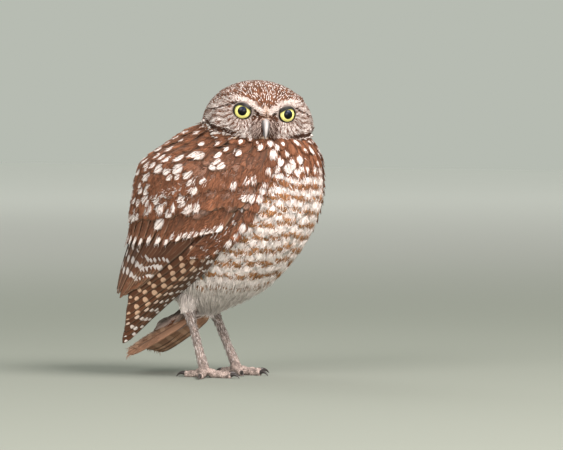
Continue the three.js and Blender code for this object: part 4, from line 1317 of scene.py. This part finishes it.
# Tiers of wing feathers on the wing's outside: how many, the line of the roots and the line of the tips
# as (height, degrees round from the breast) from the leading end to the back, how late each swings to its
# tip's angle at the two ends, the width, the lift over the wing at root and tip, the tilt across, and the
# kind of marks.
WING_TIERS = {
    "primaries": (
        8, [(100, 61), (100, 68), (96, 79)], [(22, 92), (38, 98), (56, 106)],
        (4.5, 1.2), 10.5, (-2.4, -1.5), 0.5, "squares",
    ),
    "secondaries": (
        15, [(106, 80), (110, 106), (112, 175)], [(64, 104), (57, 122), (66, 175)],
        (1.0, 1.0), 11.5, (-2.0, -0.9), 0.65, "rows",
    ),
    "hand_coverts": (
        8, [(128, 47), (124, 55), (114, 64)], [(96, 58), (86, 65), (87, 76)],
        (1.3, 1.0), 8.0, (-1.8, -0.5), 0.4, "edge",
    ),
    "greater_coverts": (
        20, [(132, 58), (128, 92), (124, 175)], [(107, 67), (97, 98), (93, 175)],
        (1.0, 1.0), 9.5, (-1.5, -0.1), 0.5, "tips",
    ),
    "median_coverts": (
        19, [(150, 46), (146, 94), (142, 175)], [(126, 57), (118, 95), (115, 175)],
        (1.0, 1.0), 10.5, (-1.0, 0.4), 0.4, "drops",
    ),
    "front_edge": (
        12, [(168, 37), (140, 42), (104, 55)], [(157, 36), (129, 42), (94, 55)],
        (1.0, 1.0), 8.5, (-0.9, 0.5), 0.2, "drops",
    ),
    "lesser_coverts": (
        15, [(164, 41), (160, 70), (154, 110)], [(140, 45), (134, 74), (128, 112)],
        (1.0, 1.0), 11.0, (-0.8, 0.6), 0.3, "plain",
    ),
}
# How far the ground of each kind is from deep brown to brown.
GROUNDS = {"squares": 0.1, "rows": 0.4, "edge": 0.6, "tips": 0.7, "drops": 0.9, "plain": 0.9}
# Of single spots near the tip: how far across they lie, how much larger they are, and how many have one.
SPOTS = {"tips": (0.8, 1.0, 1.0), "drops": (0.2, 1.1, 0.42), "plain": (0.2, 1.1, 0.2)}


class OWL_OT_wings(Maker, bpy.types.Operator):
    """Folded wings: a thin base and tiers of flight feathers and coverts"""

    bl_idname = "owl.wings"
    bl_label = "Wings"

    def make(self):
        base = plain_material("wing_base")
        flight = feather_material("flight")
        covert = feather_material("covert")
        for name, sign in SIDES.items():
            self.make_base(name, sign, base)
            for tier in WING_TIERS:
                long = tier in ("primaries", "secondaries")
                self.make_tier(name, sign, tier, flight if long else covert, long)

    def make_base(self, name, sign, material):
        """A closed shell under the feathers, from the shoulder down to a hem above the tips."""
        size, depth = 40, -3.4
        down, round_ = np.meshgrid(*[np.linspace(0, 1, size)] * 2, indexing="ij")
        shoulder = 149 + 12 * np.sin(np.minimum(1, round_ * 1.7) * 0.5 * np.pi)
        z = mix(shoulder, mix(60, 74, smooth(0.1, 0.7, round_)), down)
        angle = sign * np.radians(mix(mix(59.0, 43.0, smooth(90, 135, z)), 176, round_))
        outer, _ = lifted(wing_outside, z, angle, np.full_like(z, depth))
        inner, _ = lifted(wing_outside, z, angle, depth - mix(1.6, 6.0, smooth(60, 96, z)))
        edge = grid_quads(size, size, False)
        corner = np.arange(size**2).reshape(size, size)
        border = np.concatenate([corner[0, :-1], corner[:-1, -1], corner[-1, :0:-1], corner[:0:-1, 0]])
        following = np.roll(border, -1)
        wall = stack(border, border + size**2, following + size**2, following)
        quads = np.concatenate([edge, edge[:, ::-1] + size**2, wall[:, ::-1]])
        if sign > 0:
            quads = quads[:, ::-1]
        mesh = new_mesh(f"wing_base_{name}", np.concatenate([outer, inner]), quads)
        set_colours(mesh, "ground", np.broadcast_to(self.deep, (2 * size**2, 3)))
        new_piece(f"wing_base_{name}", mesh, "wing", material, (f"wing_{name}",))

    def make_tier(self, name, sign, tier, material, long):
        """Vanes on the wing's outside. Their roots and tips go evenly along the tier's two lines, and each
        swings round to its tip's angle by a power of the share of its length."""
        random = self.random
        count, roots, tips, swing, width, lifts, tilt, kind = WING_TIERS[tier]
        share = np.linspace(0, 1, count)
        ends = [0, 0.5, 1]
        root, tip = (
            stack(*(np.interp(share, ends, column) for column in np.array(line, float).T))
            for line in (roots, tips)
        )
        tip[:, 0] += random.normal(0, 0.8, count)
        t = FLIGHT_STOPS[None]
        z = mix(root[:, :1], tip[:, :1], t)
        degrees = mix(root[:, 1:], tip[:, 1:], t ** mix(*swing, share)[:, None])
        lift = mix(*lifts, t) * np.ones_like(z)
        centres, normals = lifted(wing_outside, z, sign * np.radians(degrees), lift)
        half = width / 2 * random.uniform(0.95, 1.05, count)
        own = self.pattern(kind, count, share, centres, sign)
        bake = stack(root[:, 1] / 180, root[:, 0] / 170) * 0.94 + 0.03
        vanes = (centres, normals, half[:, None] * FLIGHT_WIDTHS, own, bake)
        form = {"columns": 7, "camber": 0.1, "thick": 0.45, "patch": 0.03, "tilt": sign * tilt}
        coat(f"{tier}_{name}", "wing", material, vanes, **form)
        if not long:
            form = {"per": 40, "length": 5.0, "width": 0.24, "rise": 0.35, "first": 0.4, "camber": 0.1}
            loose = barbs(random, vanes, FLIGHT_STOPS, **form)
            coat(f"barbs_{tier}_{name}", "wing", material, loose, thick=0.2)

    def pattern(self, kind, count, share, centres, sign):
        """Marks by kind, on the web that shows: squares along the primaries, rows of spots across the
        secondaries, small spots on the hand's coverts, and white tips or drops on the others."""
        random = self.random
        length = np.linalg.norm(np.diff(centres, axis=1), axis=-1).sum(axis=1)
        ground = varied(random, count, mix(self.deep, self.brown, GROUNDS[kind]), 0.16)
        marks = self.white * 0.85
        web = sign * (0.5 + random.normal(0, 0.06, count))
        if kind == "squares":
            marks = mix(marks, self.buff * 0.85, smooth(0.15, 0.6, share)[:, None])
            many = length / random.uniform(9.5, 13.0, count)
            at = stack(sign * random.uniform(0.5, 0.7, count), random.random(count), many)
            size = stack(random.uniform(0.3, 0.5, count), random.uniform(0.15, 0.24, count), 1.0)
        elif kind == "rows":
            many = length / 10.6
            at = stack(web, 0.5 - many + 2.2 + random.normal(0, 0.05, count), many)
            size = (0.6, 0.25, 1.0)
        elif kind == "edge":
            at = stack(web, 0.1 + random.random(count), length / 11.0)
            size = stack(0.36, 0.15, random.random(count) < 0.8)
        else:
            across, larger, often = SPOTS[kind]
            at = stack(web * across, 3.4 / length - 0.5, 1.0)
            grown = random.uniform(0.75, 1.2, count) * larger
            size = stack(0.5 * grown, 3.0 / length * grown, random.random(count) < often)
        # The edge number gives a pale fringe and also sets the painted shade at the rim and covered root.
        ways = stack(random.random(count), 0.8, 0.25 if kind == "squares" else 0.5)
        span = stack(1 - 44.0 / length, 1 - 17.0 / length, 0.0) if kind == "rows" else (0.0, 1.1, 0.0)
        return looks(count, ground, marks, at, size, ways, span)


class OWL_OT_tail(Maker, bpy.types.Operator):
    """The folded tail: twelve barred feathers over soft coverts"""

    bl_idname = "owl.tail"
    bl_label = "Tail"

    def make(self):
        """Vanes side by side from root to tip, the outer ones lower and rolled down at their edge."""
        random = self.random
        count = 12
        side = np.linspace(-1, 1, count)
        line = TAIL_TIP - TAIL_ROOT
        up = unit(np.array([0.0, -line[2], line[1]]))
        t = FLIGHT_STOPS[:, None]
        centres = TAIL_ROOT + line * t * (1 - 0.05 * side**2)[:, None, None]
        centres[..., 0] = side[:, None] * mix(9, 17, FLIGHT_STOPS)
        rank = np.abs(side) * (count - 1) / 2
        centres = centres + up * (-TAIL_DROP * rank + 0.2 * (side > 0))[:, None, None]
        roll = np.radians(58) * side[:, None]
        normals = np.broadcast_to((np.cos(roll) * up + np.sin(roll) * X)[:, None], centres.shape)
        pale = mix(self.brown, self.buff, 0.3)
        ground = varied(random, count, pale, 0.08)
        ways = stack(random.random(count), 0.6, 0.0)
        own = looks(count, ground, self.buff, mark_at=(0.55, 0.2, 5.0), mark_size=(0.6, 0.2, 0.45), ways=ways)
        halves = np.full((count, 1), 6.4) * FLIGHT_WIDTHS
        vanes = (centres, normals, halves, own, stack(np.linspace(0.05, 0.95, count), 0.5))
        material = feather_material("tail")
        form = {"columns": 7, "camber": 0.03, "thick": 0.5, "patch": 0.06}
        coat("tail_feathers", "tail", material, vanes, ("tail",), **form)
        form = {"per": 90, "length": 5.0, "width": 0.24, "first": 0.55, "camber": 0.03}
        loose = barbs(random, vanes, FLIGHT_STOPS, **form)
        coat("barbs_tail", "tail", material, loose, thick=0.2)
        self.make_coverts(line, up)

    def make_coverts(self, line, up):
        """Soft pale feathers round the root of the tail, above and below."""
        random = self.random
        count = 130
        share = random.uniform(-0.12, 0.32, count)
        spin = random.uniform(0, TURN, count)
        sin, cos = np.sin(spin)[:, None], np.cos(spin)[:, None]
        normal = unit(0.6 * sin * X + cos * up)
        root = TAIL_ROOT + line * share[:, None] + 11 * sin * X + up * (3.8 * cos - 2)
        length = random.uniform(13, 20, count)
        stops = ROUND_STOPS[:, None]
        lie = unit(line + random.normal(0, 2.0, (count, 3)))
        centres = root[:, None] + lie[:, None] * length[:, None, None] * stops
        centres = centres - normal[:, None] * (stops * 2.0)
        pale = mix(self.brown, self.white, 0.35)
        ground = varied(random, count, np.where(cos > 0.2, self.brown, pale), 0.1)
        halves = np.full((count, 1), 4.0) * ROUND_WIDTHS
        bake = stack(spin / TURN, share + 0.3)
        vanes = (centres, normal[:, None], halves, unmarked(ground, random), bake)
        coat("tail_coverts", "tail", feather_material("tail_covert"), vanes)


class OWL_OT_legs(Maker, bpy.types.Operator):
    """Shanks with small scales and bristle feathers, toes with pads, and claws"""

    bl_idname = "owl.legs"
    bl_label = "Legs and feet"

    def make(self):
        skin, horn = self.scaly_material(), self.claw_material()
        for name, sign in SIDES.items():
            self.make_leg(name, sign, skin)
            for toe in TOES:
                self.make_claw(name, sign, toe, horn)

    def shank_axes(self, name):
        """The way down the shank, and unit vectors across it and ahead of it."""
        down = FEET[name] - ANKLES[name]
        across = unit(np.cross(down, -Y))
        return down, across, unit(np.cross(across, down))

    def toe_axes(self, sign, toe):
        """Unit vectors along a toe and across it, level with the floor."""
        heading = np.radians(TOES[toe][0])
        ahead = np.array([sign * np.sin(heading), -np.cos(heading), 0.0])
        return ahead, np.cross(Z, ahead)

    def shank_tube(self, name):
        """A tube from ankle to foot whose radius swells at both joints."""
        rows, ring = 40, 24
        down, across, ahead = self.shank_axes(name)
        share = np.linspace(SHANK_STOPS[0], 1.0, rows)
        radius = np.interp(share, SHANK_STOPS, SHANK_RADII)
        points = rings(ANKLES[name] + down * share[:, None], across, ahead, radius, ring)
        return points.reshape(-1, 3), tube_quads(rows, ring)

    def toe_tube(self, name, sign, toe):
        """Rings along the toe: the radius narrows and swells at three pads, round at the end."""
        rows, ring = 40, 24
        _, length, thick = TOES[toe]
        ahead, across = self.toe_axes(sign, toe)
        share = np.linspace(0, 1, rows)
        radius = thick * mix(1.05, 0.8, share) + 0.3 * np.cos(share * 3 * TURN)
        radius = radius * np.sqrt(np.clip(1 - ((share - 0.94) / 0.07).clip(0, 1) ** 2, 0.08, 1))
        rise = (TOE_HEIGHT + 3.4 * (1 - share) ** 3)[:, None]
        centre = FEET[name] * (1, 1, 0) + ahead * share[:, None] * length + Z * rise
        return rings(centre, across, 1.08 * Z, radius, ring).reshape(-1, 3), tube_quads(rows, ring)

    def ball_tube(self, name):
        """The ball of the foot, an ellipsoid."""
        rows, ring = 20, 24
        away = np.linspace(0.05, np.pi - 0.05, rows)
        centre = FEET[name] * (1, 1, 0) + Z * (4.4 * np.cos(away)[:, None] + 4.6)
        return rings(centre, 4.3 * X, 4.6 * Y, np.sin(away), ring).reshape(-1, 3), tube_quads(rows, ring)

    def make_leg(self, name, sign, material):
        """Ball, shank and toes in one skin, flat where it meets the floor."""
        parts = [self.ball_tube(name), self.shank_tube(name)]
        parts += [self.toe_tube(name, sign, toe) for toe in TOES]
        mesh, places = fused(f"leg_{name}", parts, voxel=0.45, rounds=3)
        places[:, 2] = np.maximum(places[:, 2], 0.0)
        mesh.vertices.foreach_set("co", places.ravel())
        new_piece(f"leg_{name}", mesh, "leg", material, (f"shank_{name}", f"foot_{name}"))
        self.make_bristles(name)

    def make_bristles(self, name):
        """Short stiff feathers that lie down along the shank, pale and brown."""
        random = self.random
        count = 1500
        down, across, ahead = self.shank_axes(name)
        share = random.random(count) ** 1.15 * 0.97 - 0.05
        spin = random.uniform(0, TURN, count)
        out = np.sin(spin)[:, None] * across + np.cos(spin)[:, None] * ahead
        radius = np.interp(share, SHANK_STOPS, SHANK_RADII) - 0.2
        root = ANKLES[name] + down * share[:, None] + out * radius[:, None]
        stops = np.array([0.0, 0.5, 1.0])[:, None]
        run = random.uniform(1.8, 3.6, count)[:, None, None] * stops
        lie = unit(unit(down) + random.normal(0, 0.14, (count, 3)))
        rise = (0.3 + 0.2 * random.random((count, 1, 1))) * stops
        centres = root[:, None] + lie[:, None] * run + out[:, None] * rise
        pale = smooth(0.35, 0.95, random.random((count, 1)))
        own = unmarked(mix(self.grey * 0.5, self.white * 0.8, pale))
        widths = random.uniform(0.14, 0.28, (count, 1)) * np.array([0.8, 1.0, 0.3])
        vanes = (centres, out[:, None], widths, own, stack(spin / TURN, 0.1 + 0.8 * share))
        coat(f"leg_bristles_{name}", "leg", feather_material("leg_bristle"), vanes, thick=0.2)

    def scaly_material(self):
        """Small scales as cells of a Voronoi pattern, pale on top with darker seams between them."""
        n = Nodes("scaly_skin")
        cells = n.add("ShaderNodeTexVoronoi", feature="DISTANCE_TO_EDGE")
        n.put(cells.inputs, Vector=n.place(), Scale=900.0)
        seam = n.fall(cells.outputs["Distance"], 0.02, 0.16)
        grain = n.noise(n.place(), 260.0, 4.0, 0.7)
        base = n.blend(n.fall(grain, 0.62, 0.4), self.grey * 1.3, self.grey * 0.45)
        n.bump(1.0 - seam, 0.0002)
        colour = n.blend(seam * 0.7, base, (0.09, 0.065, 0.055))
        return n.finish(base_color=colour, roughness=0.7, specular_ior_level=0.35)

    def claw_material(self):
        """Blackish horn, mottled by noise."""
        n = Nodes("claw")
        grain = n.noise(n.place(), 500.0, 3.0)
        return n.finish(base_color=n.blend(grain, (0.012, 0.01, 0.01), (0.05, 0.04, 0.038)), roughness=0.35)

    def make_claw(self, name, sign, toe, material):
        """A horn that bends down to the floor: rings along an arc, narrowing to a point."""
        rows, ring, arc, start = 18, 16, 8.5 / 1.57, np.radians(28)
        ahead, across = self.toe_axes(sign, toe)
        share = np.linspace(0, 1, rows)
        bend = np.radians(mix(-28, 62, share))[:, None]
        radius = 1.55 * (1 - share) ** 0.8 + 0.1
        reach, arch = arc * (np.sin(bend) + np.sin(start)), arc * (np.cos(bend) - np.cos(start))
        centre = FEET[name] * (1, 1, 0) + ahead * (TOES[toe][1] - 0.6 + reach)
        centre = centre + Z * (TOE_HEIGHT + 0.26 + arch)
        rise = ahead * np.sin(bend) + Z * np.cos(bend)
        points = rings(centre, 0.85 * across, rise[:, None], radius, ring)
        points[..., 2] = np.maximum(points[..., 2], 0.05)
        mesh = new_mesh(f"talon_{name}_{toe}", points, tube_quads(rows, ring))
        new_piece(f"talon_{name}_{toe}", mesh, "claw", material, (f"claw_{name}_{toe}",))


class OWL_PT_panel(bpy.types.Panel):
    """Lists the owl's pieces, its colours and its sizes"""

    bl_idname = "OWL_PT_panel"
    bl_label = "Owl"
    bl_space_type = "VIEW_3D"
    bl_region_type = "UI"
    bl_category = "Owl"

    def draw(self, context):
        for operator in OPERATORS:
            self.layout.operator(operator.bl_idname)
        for group in (context.scene.owl_colours, context.scene.owl_sizes):
            for name in group.bl_rna.properties.keys():
                if name not in ("rna_type", "name"):
                    self.layout.prop(group, name)


OPERATORS = (
    OWL_OT_stage,
    OWL_OT_skin,
    OWL_OT_body_coat,
    OWL_OT_head_coat,
    OWL_OT_eyes,
    OWL_OT_bill,
    OWL_OT_wings,
    OWL_OT_tail,
    OWL_OT_legs,
)
CLASSES = (OwlColours, OwlSizes, *OPERATORS, OWL_PT_panel)


def register():
    for cls in CLASSES:
        bpy.utils.register_class(cls)
    bpy.types.Scene.owl_colours = bpy.props.PointerProperty(type=OwlColours)
    bpy.types.Scene.owl_sizes = bpy.props.PointerProperty(type=OwlSizes)


def unregister():
    del bpy.types.Scene.owl_sizes
    del bpy.types.Scene.owl_colours
    for cls in reversed(CLASSES):
        bpy.utils.unregister_class(cls)


def main():
    register()
    for operator in OPERATORS:
        group, name = operator.bl_idname.split(".")
        getattr(getattr(bpy.ops, group), name)()


if __name__ == "__main__":
    main()
